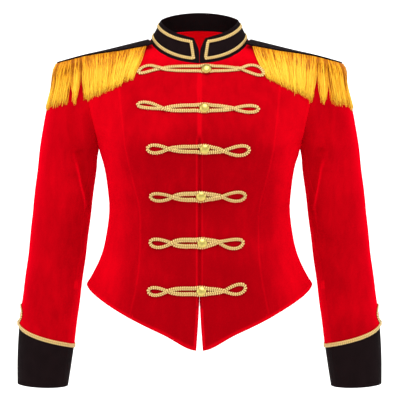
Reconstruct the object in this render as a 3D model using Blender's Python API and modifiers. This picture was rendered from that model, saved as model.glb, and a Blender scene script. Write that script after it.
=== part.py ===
"""Ringmaster jacket, filled out as worn and hollow: velvet body and sleeves, black collar, cuffs and
shoulder straps, gold fringe, gold cord frogs and domed buttons.

Units are metres and +Z is up. The origin is in the middle of the neck, level with the tops of the
shoulder straps. The front faces -Y, and +X is the wearer's left side.
"""

from collections import namedtuple
from math import asin, cos, pi, radians, sin, sqrt

import bmesh
import bpy
from mathutils import Matrix, Vector
from mathutils.bvhtree import BVHTree

# Cloth and trim
CLOTH = 0.0020
SEAM_GAP = 0.0003
SEAM_INSET = 0.00016
LAID_ON = 0.00045
LIFT = 0.0001  # steps in which a laid piece is raised until it clears the cloth
SEEK = 0.0040  # how far a laid piece looks for the cloth below it
WELD = 0.00001
SHARP = 40.0  # degrees between faces past which an edge stays sharp
SIDES = (("left", 1), ("right", -1))

# Rows and columns of the body panels
LOW_LEVELS = (0.0, 0.083, 0.167, 0.25, 0.333, 0.417, 0.5, 0.6, 0.7, 0.8, 0.9)
ARMHOLE_STEPS = 10
NECK_COLUMNS = 6
SHOULDER_COLUMNS = 3
SIDE_COLUMNS = 5

# Seam lines of one half of the body. Level 0 is the front hem, 1 the armpit, 2 the shoulder line or
# the neckline, 3 the armpit again and 4 the back hem. Level 0.5 and 3.5 are the waist.
# Columns: level, out from the middle, back from the shoulder line, height.
Row = namedtuple("Row", "level out back up")

CENTRE_FRONT = (
    Row(0.000, 0.0, -0.1110, -0.5030),
    Row(0.250, 0.0, -0.1035, -0.3920),
    Row(0.500, 0.0, -0.0985, -0.2830),
    Row(0.750, 0.0, -0.1060, -0.2350),
    Row(1.000, 0.0, -0.1130, -0.1870),
    Row(1.333, 0.0, -0.1060, -0.1370),
    Row(1.667, 0.0, -0.0890, -0.0880),
    Row(2.000, 0.0, -0.0640, -0.0407),
)
CENTRE_BACK = (
    Row(2.000, 0.0, 0.0600, 0.0120),
    Row(2.167, 0.0, 0.0790, -0.0180),
    Row(2.333, 0.0, 0.0950, -0.0600),
    Row(2.667, 0.0, 0.1090, -0.1280),
    Row(3.000, 0.0, 0.1050, -0.1870),
    Row(3.250, 0.0, 0.0930, -0.2350),
    Row(3.500, 0.0, 0.0820, -0.2830),
    Row(3.750, 0.0, 0.0970, -0.3420),
    Row(4.000, 0.0, 0.1160, -0.4000),
)
NECK_LINE = (
    Row(0.000, 0.0600, -0.1080, -0.4770),
    Row(0.250, 0.0550, -0.1010, -0.3830),
    Row(0.500, 0.0480, -0.0955, -0.2830),
    Row(0.750, 0.0520, -0.1080, -0.2350),
    Row(1.000, 0.0580, -0.1190, -0.1870),
    Row(1.333, 0.0640, -0.1060, -0.1350),
    Row(1.667, 0.0710, -0.0800, -0.0780),
    Row(1.833, 0.0765, -0.0550, -0.0400),
    Row(2.000, 0.0810, 0.0000, -0.0033),
    Row(2.167, 0.0775, 0.0600, -0.0315),
    Row(2.333, 0.0735, 0.0865, -0.0660),
    Row(2.667, 0.0660, 0.1060, -0.1300),
    Row(3.000, 0.0580, 0.1030, -0.1870),
    Row(3.250, 0.0520, 0.0905, -0.2350),
    Row(3.500, 0.0480, 0.0800, -0.2830),
    Row(3.750, 0.0540, 0.0950, -0.3430),
    Row(4.000, 0.0600, 0.1120, -0.4010),
)
PRINCESS_LINE = (
    Row(0.000, 0.1140, -0.0940, -0.4524),
    Row(0.250, 0.0985, -0.0870, -0.3740),
    Row(0.500, 0.0965, -0.0785, -0.2830),
    Row(0.750, 0.1065, -0.0880, -0.2370),
    Row(1.000, 0.1180, -0.1000, -0.1870),
    Row(1.333, 0.1245, -0.0880, -0.1340),
    Row(1.667, 0.1310, -0.0640, -0.0700),
    Row(1.833, 0.1340, -0.0440, -0.0375),
    Row(2.000, 0.1350, 0.0000, -0.0170),
    Row(2.167, 0.1345, 0.0440, -0.0360),
    Row(2.333, 0.1320, 0.0670, -0.0700),
    Row(2.667, 0.1260, 0.0880, -0.1320),
    Row(3.000, 0.1180, 0.0880, -0.1870),
    Row(3.250, 0.1060, 0.0790, -0.2360),
    Row(3.500, 0.0960, 0.0700, -0.2830),
    Row(3.750, 0.1040, 0.0850, -0.3430),
    Row(4.000, 0.1180, 0.1000, -0.4030),
)
SIDE_SEAM = (
    Row(0.000, 0.1875, 0.0, -0.4070),
    Row(0.100, 0.1765, 0.0, -0.3880),
    Row(0.250, 0.1605, 0.0, -0.3515),
    Row(0.375, 0.1535, 0.0, -0.3175),
    Row(0.500, 0.1498, 0.0, -0.2870),
    Row(0.650, 0.1508, 0.0, -0.2620),
    Row(0.800, 0.1535, 0.0, -0.2320),
    Row(0.900, 0.1575, 0.0, -0.2100),
    Row(1.000, 0.1650, 0.0, -0.1865),
)
ARMHOLE = (
    Row(1.000, 0.1650, 0.0000, -0.1865),
    Row(1.167, 0.1668, -0.0270, -0.1740),
    Row(1.333, 0.1712, -0.0470, -0.1480),
    Row(1.500, 0.1790, -0.0540, -0.1140),
    Row(1.667, 0.1865, -0.0460, -0.0770),
    Row(1.833, 0.1925, -0.0270, -0.0450),
    Row(2.000, 0.1945, 0.0000, -0.0308),
    Row(2.167, 0.1925, 0.0270, -0.0440),
    Row(2.333, 0.1860, 0.0460, -0.0760),
    Row(2.500, 0.1780, 0.0550, -0.1130),
    Row(2.667, 0.1705, 0.0490, -0.1470),
    Row(2.833, 0.1668, 0.0290, -0.1740),
    Row(3.000, 0.1650, 0.0000, -0.1865),
)
ARMHOLE_TURN = 0.014  # how much wider the body would be behind an armhole's edge
ARMHOLE_REACH = 0.3  # levels from an armpit over which that width grows
TOP_REACH = 0.6  # levels over which the body takes up the shape of its top edge
TOP_BEHIND = 2.0001  # the level of the top edge where it belongs to the back
TINY = 0.001
OPEN_TOP = -0.434  # below this height the two fronts part
OPEN_EACH = 0.0052  # how far each front is from the middle at the hem

# Neckline and collar, seen from above two half ellipses each
NECK_HALF = 0.0810
NECK_FRONT = 0.0640
NECK_BACK = 0.0600
NECK_SIDE_UP = -0.0033
NECK_FRONT_DROP = 0.0377
NECK_BACK_RISE = 0.0150
NECK_DIP = 1.2
COLLAR_HALF = 0.0650
COLLAR_FRONT = 0.0540
COLLAR_BACK = 0.0550
COLLAR_SIDE_UP = 0.0285
COLLAR_FRONT_DROP = 0.0270
COLLAR_BACK_RISE = 0.0135
COLLAR_DIP = 1.4
COLLAR_MEET = 0.48  # share of the height up to which the collar's ends touch
COLLAR_NOTCH = 0.0090  # how far each top corner is from the middle
COLLAR_CORNER_DROP = 0.0020
COLLAR_COLUMNS = 2 * NECK_COLUMNS
COLLAR_ROWS = (0.0, 0.24, 0.48, 0.74, 1.0)
COLLAR_BRAID_IN = 0.0083
COLLAR_BRAID_WIDE = 0.0047
COLLAR_BRAID_THICK = 0.0014

# Sleeve sections below the armpit, level rings. Columns: height, middle out and back, half sizes.
Ring = namedtuple("Ring", "up out back half_width half_depth")
SLEEVE = (
    Ring(-0.2180, 0.2189, 0.004, 0.0496, 0.0580),
    Ring(-0.2840, 0.2275, 0.006, 0.0494, 0.0550),
    Ring(-0.3500, 0.2354, 0.006, 0.0487, 0.0520),
    Ring(-0.4170, 0.2440, 0.001, 0.0486, 0.0500),
    Ring(-0.4840, 0.2521, -0.007, 0.0486, 0.0480),
    Ring(-0.5170, 0.2553, -0.011, 0.0470, 0.0468),
    Ring(-0.5510, 0.2580, -0.015, 0.0447, 0.0450),
    Ring(-0.5730, 0.2595, -0.017, 0.0426, 0.0436),
)
# How the sleeve leaves the armhole, going round from the shoulder point by the front.
# Columns: angle, direction (out, back, up), reach at the armhole and at the first ring.
Leave = namedtuple("Leave", "angle out back up start end")
SLEEVE_HEAD = (
    Leave(0, 0.940, 0.00, -0.34, 0.205, 0.190),
    Leave(45, 0.930, -0.15, -0.33, 0.155, 0.165),
    Leave(90, 0.850, -0.28, -0.45, 0.085, 0.110),
    Leave(135, 0.600, -0.25, -0.76, 0.045, 0.060),
    Leave(180, 0.300, 0.00, -0.95, 0.030, 0.030),
    Leave(225, 0.600, 0.25, -0.76, 0.045, 0.060),
    Leave(270, 0.850, 0.28, -0.45, 0.085, 0.110),
    Leave(315, 0.930, 0.15, -0.33, 0.155, 0.165),
    Leave(360, 0.940, 0.00, -0.34, 0.205, 0.190),
)
SLEEVE_AXIS = Vector((0.12, 0.0, -1.0))
SLEEVE_CLEAR = Vector((0.00035, 0.0, 0.0))
SLEEVE_HEAD_ROWS = (0.0, 0.1, 0.24, 0.4, 0.6, 0.8, 1.0)
SLEEVE_TUBE_ROWS = 8
SLEEVE_COLUMNS = 2 * ARMHOLE_STEPS
FRONT_SLEEVE_SEAM = 8  # columns from the shoulder point round the front to the seam
BACK_SLEEVE_SEAM = 15
FOLD_PAST = 0.25  # share of its length by which a fold runs out past its ends
FOLD_EASE = 0.4
# Soft folds of a sleeve. Columns: angle and height at both ends, half width, depth.
Fold = namedtuple("Fold", "angle_1 up_1 angle_2 up_2 half_wide deep")
SLEEVE_FOLDS = (
    Fold(104, -0.150, 146, -0.285, 0.020, 0.0030),
    Fold(128, -0.320, 100, -0.390, 0.018, 0.0014),
    Fold(250, -0.300, 215, -0.380, 0.020, 0.0020),
)

# Cuff: its top edge rises to a point on the outer side
CUFF_POINT_UP = -0.4680
CUFF_INNER_DROP = 0.0400
CUFF_SLOPE = 1.4
CUFF_HEM_UP = -0.5715
CUFF_HEM_TILT = 0.0020
CUFF_ROWS = 3
CUFF_BRAID_WIDE = 0.0070
CUFF_BRAID_THICK = 0.0022
CUFF_BRAID_APART = 0.25  # degrees from the inner seam to each end of the braid
CUFF_LOOP_HALF = 0.0210
CUFF_LOOP_TALL = 0.0270
CUFF_LOOP_FOOT = -62.0  # angle at which the loop leaves the braid
CUFF_LOOP_POINTS = 10

# Shoulder strap, stiff. Columns: out from the middle, height of the top, drop at the edges.
Stay = namedtuple("Stay", "out up drop")
STRAP = (
    Stay(0.0750, 0.0010, 0.0080),
    Stay(0.0850, -0.0012, 0.0090),
    Stay(0.1060, -0.0064, 0.0075),
    Stay(0.1310, -0.0128, 0.0058),
    Stay(0.1580, -0.0196, 0.0026),
    Stay(0.1900, -0.0268, 0.0008),
    Stay(0.2350, -0.0395, 0.0000),
)
STRAP_THICK = 0.0020
STRAP_BEGIN = 0.0850  # out from the middle, behind the shoulder's line
STRAP_OFF = 0.0040  # from the neck's edge to the strap's end in front
STRAP_DRAWN = 0.0500  # length over which the front follows the collar
STRAP_HALF = 0.0300
STRAP_ROWS = 9
STRAP_TIP_ROWS = 5
STRAP_COLUMNS = 4

# Fringe round a strap's edge
FRINGE_STRANDS = 60
FRINGE_SHARE = 0.70  # of a strand's pitch, the rest is the space beside it
FRINGE_THICK = 0.0020
FRINGE_STRIP_TALL = 0.0028
FRINGE_STRIP_DROP = 0.0009  # below the strap's top
FRINGE_BEGIN = 0.0925  # out from the middle
FRINGE_OFF = 0.0022  # from the cloth to a strand's middle
FRINGE_BEND = 0.4  # part of the fall at which a strand bends
FRINGE_SAMPLES = 10
FRINGE_FALL = (0.0580, 0.0770)  # at the collar end and at the tip
FRINGE_LEAN = (0.0177, 0.0130)
FRINGE_BULGE = 0.0035  # how far the strands at the tip stand out at their bends
FRINGE_TAPER = 0.75
FRINGE_SEEK = 0.3

# Frogs: one cord each, in a long middle lobe and a small loop at each end.
# Columns: height in the middle, out to the middle of the cord at the right end, right crossing, left
# crossing, left end, half heights of the right loop, the left loop and the lobe, button's place out
# from the middle.
Frog = namedtuple("Frog", "up right right_cross left_cross left right_half left_half lobe button")
FROGS = (
    Frog(-0.0498, -0.0982, -0.0631, 0.0654, 0.1030, 0.0050, 0.0066, 0.0041, 0.0109),
    Frog(-0.1121, -0.0989, -0.0580, 0.0537, 0.0943, 0.0047, 0.0054, 0.0042, 0.0075),
    Frog(-0.1775, -0.0827, -0.0493, 0.0387, 0.0792, 0.0058, 0.0070, 0.0041, 0.0082),
    Frog(-0.2542, -0.0784, -0.0418, 0.0351, 0.0732, 0.0058, 0.0070, 0.0048, 0.0027),
    Frog(-0.3296, -0.0793, -0.0445, 0.0295, 0.0700, 0.0062, 0.0069, 0.0048, 0.0040),
    Frog(-0.4070, -0.0822, -0.0513, 0.0398, 0.0736, 0.0058, 0.0072, 0.0044, 0.0024),
)
# How far each frog's crossings, the middles of its loops and its ends are above its middle.
Sway = namedtuple("Sway", "cross middle tip")
FROG_RIGHT = (
    Sway(-0.0003, 0.0000, -0.0054),
    Sway(-0.0016, 0.0033, 0.0048),
    Sway(0.0009, 0.0004, 0.0008),
    Sway(0.0000, -0.0011, 0.0000),
    Sway(0.0000, -0.0011, 0.0000),
    Sway(0.0000, -0.0009, -0.0005),
)
FROG_LEFT = (
    Sway(-0.0010, -0.0013, -0.0075),
    Sway(-0.0012, -0.0019, -0.0019),
    Sway(-0.0025, -0.0025, -0.0006),
    Sway(0.0005, 0.0000, 0.0012),
    Sway(0.0022, -0.0017, 0.0003),
    Sway(0.0004, 0.0022, 0.0050),
)
FROG_CORD = 0.0060
FROG_THICK = 0.0030
FROG_LOOP_PEAK = 1.299  # makes the greatest half height of a loop's curve 1
FROG_LOOP_STEPS = 9
FROG_LOBE_STEPS = 10
FROG_HOLE_THIN = 0.0004  # half height at which a hole ends
FROG_HOLE_POINT = 1.6  # length of a loop's hole past its last point, as a share of its half height
FROG_SLIT_POINT = 0.0030

# Domed button. Columns: distance from its middle, height above its back.
Turn = namedtuple("Turn", "radius high")
BUTTON = (
    Turn(0.0, 0.0052),
    Turn(0.0040, 0.0047),
    Turn(0.0070, 0.0032),
    Turn(0.0084, 0.0014),
    Turn(0.0080, 0.0),
    Turn(0.0, 0.0),
)
BUTTON_STEPS = 12

MATERIALS = {
    "red_velvet": ((0.52, 0.0015, 0.0035), 0.75, 0.0),
    "black_cloth": ((0.010, 0.008, 0.009), 0.80, 0.0),
    "gold_braid": ((0.72, 0.52, 0.17), 0.45, 0.3),
    "gold_fringe": ((0.86, 0.50, 0.05), 0.45, 0.0),
    "brass": ((0.66, 0.50, 0.14), 0.25, 1.0),
}


def clear_scene():
    """Remove what the file already holds."""
    for found in list(bpy.data.objects):
        bpy.data.objects.remove(found, do_unlink=True)


def make_materials():
    """One Principled material for each finish."""
    made = {}
    for name, (colour, roughness, metallic) in MATERIALS.items():
        material = bpy.data.materials.new(name)
        material.use_nodes = True
        shader = material.node_tree.nodes["Principled BSDF"]
        shader.inputs["Base Color"].default_value = (*colour, 1.0)
        shader.inputs["Roughness"].default_value = roughness
        shader.inputs["Metallic"].default_value = metallic
        made[name] = material
    return made


def mirrored(point, side):
    """The point on the left side, or its mirror image on the right."""
    return Vector((point.x * side, point.y, point.z))


def ease(share):
    """A smooth rise from 0 to 1."""
    held = min(1.0, max(0.0, share))
    return held * held * (3.0 - 2.0 * held)


def slope_at(knots, values, i):
    """How fast the values change at a knot, from its neighbours."""
    last = len(knots) - 1
    if i == 0:
        return (values[1] - values[0]) / (knots[1] - knots[0])
    if i == last:
        return (values[last] - values[last - 1]) / (knots[last] - knots[last - 1])
    before = knots[i] - knots[i - 1]
    after = knots[i + 1] - knots[i]
    fore = (values[i] - values[i - 1]) / before
    aft = (values[i + 1] - values[i]) / after
    return (fore * after + aft * before) / (before + after)


def smooth(knots, values, at):
    """The value at a place on the smooth curve through the values at the knots."""
    i = 0
    while i < len(knots) - 2 and at > knots[i + 1]:
        i += 1
    span = knots[i + 1] - knots[i]
    t = (at - knots[i]) / span
    start = slope_at(knots, values, i) * span
    end = slope_at(knots, values, i + 1) * span
    rest = 1.0 - t
    return (
        values[i] * (rest * rest * (1.0 + 2.0 * t))
        + values[i + 1] * (t * t * (3.0 - 2.0 * t))
        + start * (t * rest * rest)
        - end * (t * t * rest)
    )


def along(table, level):
    """The point of a seam line at a level."""
    knots = [row.level for row in table]
    points = [Vector((row.out, row.back, row.up)) for row in table]
    return smooth(knots, points, level)


def side_line(level):
    """The side seam, and between the armpits the edge of the armhole."""
    if level <= 1.0:
        return along(SIDE_SEAM, level)
    if level >= 3.0:
        return along(SIDE_SEAM, 4.0 - level)
    return along(ARMHOLE, level)


def beyond_side(level):
    """The point that the body's section heads for past its side."""
    around = along(PRINCESS_LINE, 4.0 - level)
    if level <= 1.0 or level >= 3.0:
        return around
    edge = along(ARMHOLE, level)
    turned = Vector((edge.x + ARMHOLE_TURN, 0.0, edge.z))
    past = min(level - 1.0, 3.0 - level)
    return around.lerp(turned, ease(past / ARMHOLE_REACH))


def neck_edge(angle):
    """The neckline, from 0 degrees at the front to 180 at the back."""
    turn = radians(angle)
    reach = abs(cos(turn))
    out = NECK_HALF * sin(turn)
    if angle <= 90:
        return Vector((out, -NECK_FRONT * reach, NECK_SIDE_UP - NECK_FRONT_DROP * reach**NECK_DIP))
    return Vector((out, NECK_BACK * reach, NECK_SIDE_UP + NECK_BACK_RISE * reach**NECK_DIP))


def top_edge(across, level):
    """The neckline and shoulder seam, where across 0 is the middle, 1 the neck and 3 the armhole."""
    if across <= 1.0:
        return neck_edge(90.0 * across if level <= 2.0 else 180.0 - 90.0 * across)
    neck = along(NECK_LINE, 2.0)
    middle = along(PRINCESS_LINE, 2.0)
    if across <= 2.0:
        return neck.lerp(middle, across - 1.0)
    return middle.lerp(side_line(2.0), across - 2.0)


def section(across, level):
    """A point of the smooth section through the seam lines at one level."""
    centre = along(CENTRE_FRONT if level <= 2.0 else CENTRE_BACK, level)
    neck = along(NECK_LINE, level)
    points = [
        mirrored(neck, -1),
        centre,
        neck,
        along(PRINCESS_LINE, level),
        side_line(level),
        beyond_side(level),
    ]
    knots = [0.0]
    for before, after in zip(points, points[1:]):
        knots.append(knots[-1] + (after - before).length)
    i = min(int(across), 2)
    at = knots[i + 1] + (across - i) * (knots[i + 2] - knots[i + 1])
    return smooth(knots, points, at)


def body(across, level):
    """The outer face of the jacket's body on the left half."""
    point = section(across, level)
    near_top = max(0.0, 1.0 - abs(level - 2.0) / TOP_REACH) ** 2
    if near_top > 0.0:
        top = 2.0 if level <= 2.0 else TOP_BEHIND
        point = point + (top_edge(across, level) - section(across, top)) * near_top
    return point


def body_normal(across, level):
    """Outward from the body's outer face."""
    step = 0.03
    low = max(across - step, 0.0)
    high = min(across + step, 3.0)
    below = max(level - step, 0.0)
    above = min(level + step, 4.0)
    if across < 1.0 - TINY:
        above = min(above, 2.0) if level <= 2.0 else above
        below = max(below, TOP_BEHIND) if level > 2.0 else below
        if level in (2.0, TOP_BEHIND):
            across = max(across, step)
    if across > 3.0 - TINY and level <= 1.0:
        above = level
    if across > 3.0 - TINY and level >= 3.0:
        below = level
    wide = body(high, level) - body(low, level)
    tall = body(across, above) - body(across, below)
    normal = wide.cross(tall).normalized()
    if across == 0.0:
        normal.x = 0.0
        normal.normalize()
    return normal


def front_levels():
    """The rows of a front panel, from the hem to the shoulder."""
    upper = [1.0 + i / ARMHOLE_STEPS for i in range(ARMHOLE_STEPS + 1)]
    return [*LOW_LEVELS, *upper]


def steps(start, end, count):
    """Evenly spaced values, both ends among them."""
    return [start + (end - start) * i / count for i in range(count + 1)]


def new_object(name, mesh, material, collection):
    """An object in the jacket's collection with its material."""
    made = bpy.data.objects.new(name, mesh)
    collection.objects.link(made)
    mesh.materials.append(material)
    return made


def mesh_from(name, points, faces, smooth_angle=SHARP):
    """A closed mesh with its faces pointing out."""
    build = bmesh.new()
    corners = [build.verts.new(point) for point in points]
    for face in faces:
        build.faces.new([corners[i] for i in face])
    bmesh.ops.recalc_face_normals(build, faces=build.faces)
    mesh = bpy.data.meshes.new(name)
    build.to_mesh(mesh)
    build.free()
    mesh.shade_smooth()
    mesh.set_sharp_from_angle(angle=radians(smooth_angle))
    return mesh


def wall(name, outer, inner, round_it=False):
    """A closed wall between an outer and an inner net of points, rows by columns."""
    rows = len(outer)
    columns = len(outer[0])
    points = [point for row in outer for point in row] + [point for row in inner for point in row]
    half = rows * columns
    faces = []
    last = columns if round_it else columns - 1
    for r in range(rows - 1):
        for c in range(last):
            d = (c + 1) % columns
            a, b = r * columns + c, r * columns + d
            e, f = (r + 1) * columns + d, (r + 1) * columns + c
            faces.append((a, b, e, f))
            faces.append((half + f, half + e, half + b, half + a))
    for c in range(last):
        d = (c + 1) % columns
        top = (rows - 1) * columns
        faces.append((c, half + c, half + d, d))
        faces.append((top + d, half + top + d, half + top + c, top + c))
    if not round_it:
        for r in range(rows - 1):
            a, b = r * columns, (r + 1) * columns
            c, d = a + columns - 1, b + columns - 1
            faces.append((b, half + b, half + a, a))
            faces.append((c, half + c, half + d, d))
    return mesh_from(name, points, faces)


def inset_edges(net, left=0.0, right=0.0, bottom=0.0, top=0.0):
    """Draw the edges of a net in by a seam's half gap."""
    rows = len(net)
    columns = len(net[0])
    for r in range(rows):
        first, second = net[r][0], net[r][1]
        net[r][0] = first + (second - first).normalized() * left
        last, before = net[r][columns - 1], net[r][columns - 2]
        net[r][columns - 1] = last + (before - last).normalized() * right
    for c in range(columns):
        low, above = net[0][c], net[1][c]
        net[0][c] = low + (above - low).normalized() * bottom
        high, below = net[rows - 1][c], net[rows - 2][c]
        net[rows - 1][c] = high + (below - high).normalized() * top


def parted(point, across, level):
    """Where the fronts part below the last frog, a point moved off the middle."""
    low = min(1.0, max(0.0, (OPEN_TOP - point.z) / (OPEN_TOP - CENTRE_FRONT[0].up)))
    near = max(0.0, 1.0 - across)
    return point + Vector((OPEN_EACH * low * near * near, 0.0, 0.0))


def panel_nets(columns, behind):
    """Outer and inner points of a panel of the left half between two seams."""
    outer = []
    inner = []
    for height in front_levels():
        level = 4.0 - height if behind else height
        if behind and height == 2.0:
            level = TOP_BEHIND
        outer_row = []
        inner_row = []
        for across in columns:
            point = body(across, level)
            if not behind:
                point = parted(point, across, level)
            outer_row.append(point)
            inner_row.append(point - body_normal(across, level) * CLOTH)
        outer.append(outer_row)
        inner.append(inner_row)
    return outer, inner


def make_panel(name, columns, behind, side, material, collection):
    """A body panel with its seam gaps."""
    nets = panel_nets(columns, behind)
    at_middle = columns[0] == 0.0
    for net in nets:
        inset_edges(net, left=0.0 if at_middle else SEAM_INSET, right=SEAM_INSET, top=SEAM_INSET)
        if at_middle:
            for row in net:
                row[0].x = max(row[0].x, SEAM_GAP / 2)
        for row in net:
            for c, point in enumerate(row):
                row[c] = mirrored(point, side)
    return new_object(name, wall(name, *nets), material, collection)


def make_back(material, collection):
    """The middle back panel, from princess seam to princess seam."""
    columns = [
        *steps(0.0, 1.0, NECK_COLUMNS),
        *steps(1.0, 2.0, SHOULDER_COLUMNS)[1:],
    ]
    halves = panel_nets(columns, True)
    nets = []
    for net in halves:
        inset_edges(net, right=SEAM_INSET, top=SEAM_INSET)
        nets.append([[mirrored(point, -1) for point in row[:0:-1]] + row for row in net])
    return new_object("back", wall("back", *nets), material, collection)


def make_body(materials, collection):
    """All the body panels."""
    velvet = materials["red_velvet"]
    centre = [*steps(0.0, 1.0, NECK_COLUMNS), *steps(1.0, 2.0, SHOULDER_COLUMNS)[1:]]
    flank = steps(2.0, 3.0, SIDE_COLUMNS)
    panels = [make_back(velvet, collection)]
    for name, side in SIDES:
        panels.append(make_panel("front_" + name, centre, False, side, velvet, collection))
        panels.append(make_panel("side_front_" + name, flank, False, side, velvet, collection))
        panels.append(make_panel("side_back_" + name, flank, True, side, velvet, collection))
    return panels


def ring_point(angle, up):
    """A point of the sleeve below the armpit."""
    table = SLEEVE[::-1]
    knots = [ring.up for ring in table]
    middle = smooth(knots, [Vector((ring.out, ring.back, 0.0)) for ring in table], up)
    halves = smooth(knots, [Vector((ring.half_width, ring.half_depth, 0.0)) for ring in table], up)
    turn = radians(angle)
    return Vector((middle.x + halves.x * cos(turn), middle.y - halves.y * sin(turn), up))


def cuff_top(angle):
    """Height of the cuff's top edge."""
    from_point = min(angle % 360.0, 360.0 - angle % 360.0)
    return CUFF_POINT_UP - CUFF_INNER_DROP * (1.0 - (1.0 - from_point / 180.0) ** CUFF_SLOPE)


def armhole_edge(angle):
    """The armhole's edge, from the shoulder point round by the front."""
    return along(ARMHOLE, 2.0 - angle / 180.0 if angle <= 180.0 else 2.0 + (360.0 - angle) / 180.0)


def fold_depth(angle, up):
    """How far the sleeve's cloth is drawn in by its folds."""
    drawn = 0.0
    for fold in SLEEVE_FOLDS:
        share = (up - fold.up_1) / (fold.up_2 - fold.up_1)
        at = fold.angle_1 + (fold.angle_2 - fold.angle_1) * share
        beside = radians(angle - at) * SLEEVE[0].half_depth
        past = min(share, 1.0 - share) + FOLD_PAST
        if abs(beside) < fold.half_wide and past > 0.0:
            ends = ease(past / FOLD_EASE)
            drawn += fold.deep * ends * cos(beside / fold.half_wide * pi / 2) ** 2
    return drawn


def sleeve(angle, run):
    """The sleeve's outer face: run 0 is the armhole, 1 the first ring and 2 the cuff's edge."""
    angle = angle % 360.0
    first = SLEEVE[0].up
    if run >= 1.0:
        up = first + (cuff_top(angle) - first) * (run - 1.0)
        point = ring_point(angle, up)
    else:
        knots = [row.angle for row in SLEEVE_HEAD]
        lean = smooth(knots, [Vector((row.out, row.back, row.up)) for row in SLEEVE_HEAD], angle)
        reach = smooth(knots, [Vector((row.start, row.end, 0.0)) for row in SLEEVE_HEAD], angle)
        begin = armhole_edge(angle) + SLEEVE_CLEAR
        end = ring_point(angle, first)
        rest = 1.0 - run
        point = (
            begin * (rest * rest * (1.0 + 2.0 * run))
            + end * (run * run * (3.0 - 2.0 * run))
            + lean.normalized() * reach.x * (run * rest * rest)
            - SLEEVE_AXIS.normalized() * reach.y * (run * run * rest)
        )
    middle = Vector((SLEEVE[0].out, SLEEVE[0].back, point.z))
    if run >= 1.0:
        middle.x = ring_point(0.0, point.z).x - SLEEVE[0].half_width
    drawn = fold_depth(angle, point.z) * ease(2.0 * run)
    inward = middle - point
    inward.z = 0.0
    return point + inward.normalized() * drawn


def tube_normal(face, angle, run, low, high):
    """Outward from a face given as a function of angle and run."""
    step_angle = 3.0
    step_run = 0.03
    turned = face(angle + step_angle, run) - face(angle - step_angle, run)
    down = face(angle, min(run + step_run, high)) - face(angle, max(run - step_run, low))
    return turned.cross(down).normalized()


def tube_nets(face, angles, runs, low, high):
    """Outer and inner points of a tube's wall."""
    outer = []
    inner = []
    for run in runs:
        outer_row = [face(angle, run) for angle in angles]
        inner_row = [
            point - tube_normal(face, angle, run, low, high) * CLOTH
            for angle, point in zip(angles, outer_row)
        ]
        outer.append(outer_row)
        inner.append(inner_row)
    return outer, inner


def make_sleeves(materials, collection):
    """Two sleeve pieces a side, upper and under."""
    made = []
    pitch = 360.0 / SLEEVE_COLUMNS
    runs = [*SLEEVE_HEAD_ROWS, *steps(1.0, 2.0, SLEEVE_TUBE_ROWS)[1:]]
    upper = [i * pitch for i in range(BACK_SLEEVE_SEAM - SLEEVE_COLUMNS, FRONT_SLEEVE_SEAM + 1)]
    under = [i * pitch for i in range(FRONT_SLEEVE_SEAM, BACK_SLEEVE_SEAM + 1)]
    for name, side in SIDES:
        for piece, angles in (("upper", upper), ("under", under)):
            nets = tube_nets(sleeve, angles, runs, 0.0, 2.0)
            for net in nets:
                inset_edges(net, left=SEAM_INSET, right=SEAM_INSET, top=SEAM_INSET)
                for row in net:
                    row[:] = [mirrored(point, side) for point in row]
            title = piece + "_sleeve_" + name
            made.append(new_object(title, wall(title, *nets), materials["red_velvet"], collection))
    return made


def cuff(angle, run):
    """The cuff's outer face, from its top edge to its hem."""
    top = cuff_top(angle)
    hem = CUFF_HEM_UP + CUFF_HEM_TILT * cos(radians(angle))
    return ring_point(angle, top + (hem - top) * run)


def make_cuffs(materials, collection):
    """A black tube below each sleeve."""
    made = []
    pitch = 360.0 / SLEEVE_COLUMNS
    angles = [i * pitch for i in range(SLEEVE_COLUMNS)]
    for name, side in SIDES:
        nets = tube_nets(cuff, angles, steps(0.0, 1.0, CUFF_ROWS), 0.0, 1.0)
        for net in nets:
            inset_edges(net, bottom=SEAM_INSET)
            for row in net:
                row[:] = [mirrored(point, side) for point in row]
        title = "cuff_" + name
        mesh = wall(title, *nets, round_it=True)
        made.append(new_object(title, mesh, materials["black_cloth"], collection))
    return made


def collar_section(angle, high):
    """The collar between the neckline and its top edge."""
    turn = radians(angle)
    reach = abs(cos(turn))
    base = neck_edge(angle) + Vector((0.0, 0.0, LAID_ON))
    out = COLLAR_HALF * sin(turn)
    if angle <= 90.0:
        up = COLLAR_SIDE_UP - COLLAR_FRONT_DROP * reach**COLLAR_DIP
        top = Vector((out, -COLLAR_FRONT * reach, up))
    else:
        up = COLLAR_SIDE_UP + COLLAR_BACK_RISE * reach**COLLAR_DIP
        top = Vector((out, COLLAR_BACK * reach, up))
    return base.lerp(top, high)


def collar_end(high):
    """Angle at which the collar ends in front, at a share of its height."""
    part = max(0.0, (high - COLLAR_MEET) / (1.0 - COLLAR_MEET))
    from_middle = SEAM_GAP / 2 + (COLLAR_NOTCH - SEAM_GAP / 2) * part
    half = NECK_HALF + (COLLAR_HALF - NECK_HALF) * high
    return asin(from_middle / half) * 180.0 / pi


def collar(share, high):
    """The collar's outer face on the left: share 0 is its front end and 1 the middle of the back."""
    start = collar_end(high)
    return collar_section(start + (180.0 - start) * share, high)


def collar_normal(share, high):
    """Outward from the collar."""
    step = 0.02
    step_high = 0.1
    low = max(share - step, 0.0)
    far = min(share + step, 1.0)
    below = max(high - step_high, 0.0)
    above = min(high + step_high, 1.0)
    wide = collar(far, high) - collar(low, high)
    tall = collar(share, above) - collar(share, below)
    normal = wide.cross(tall).normalized()
    if share == 1.0:
        normal.x = 0.0
        normal.normalize()
    return normal


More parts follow.
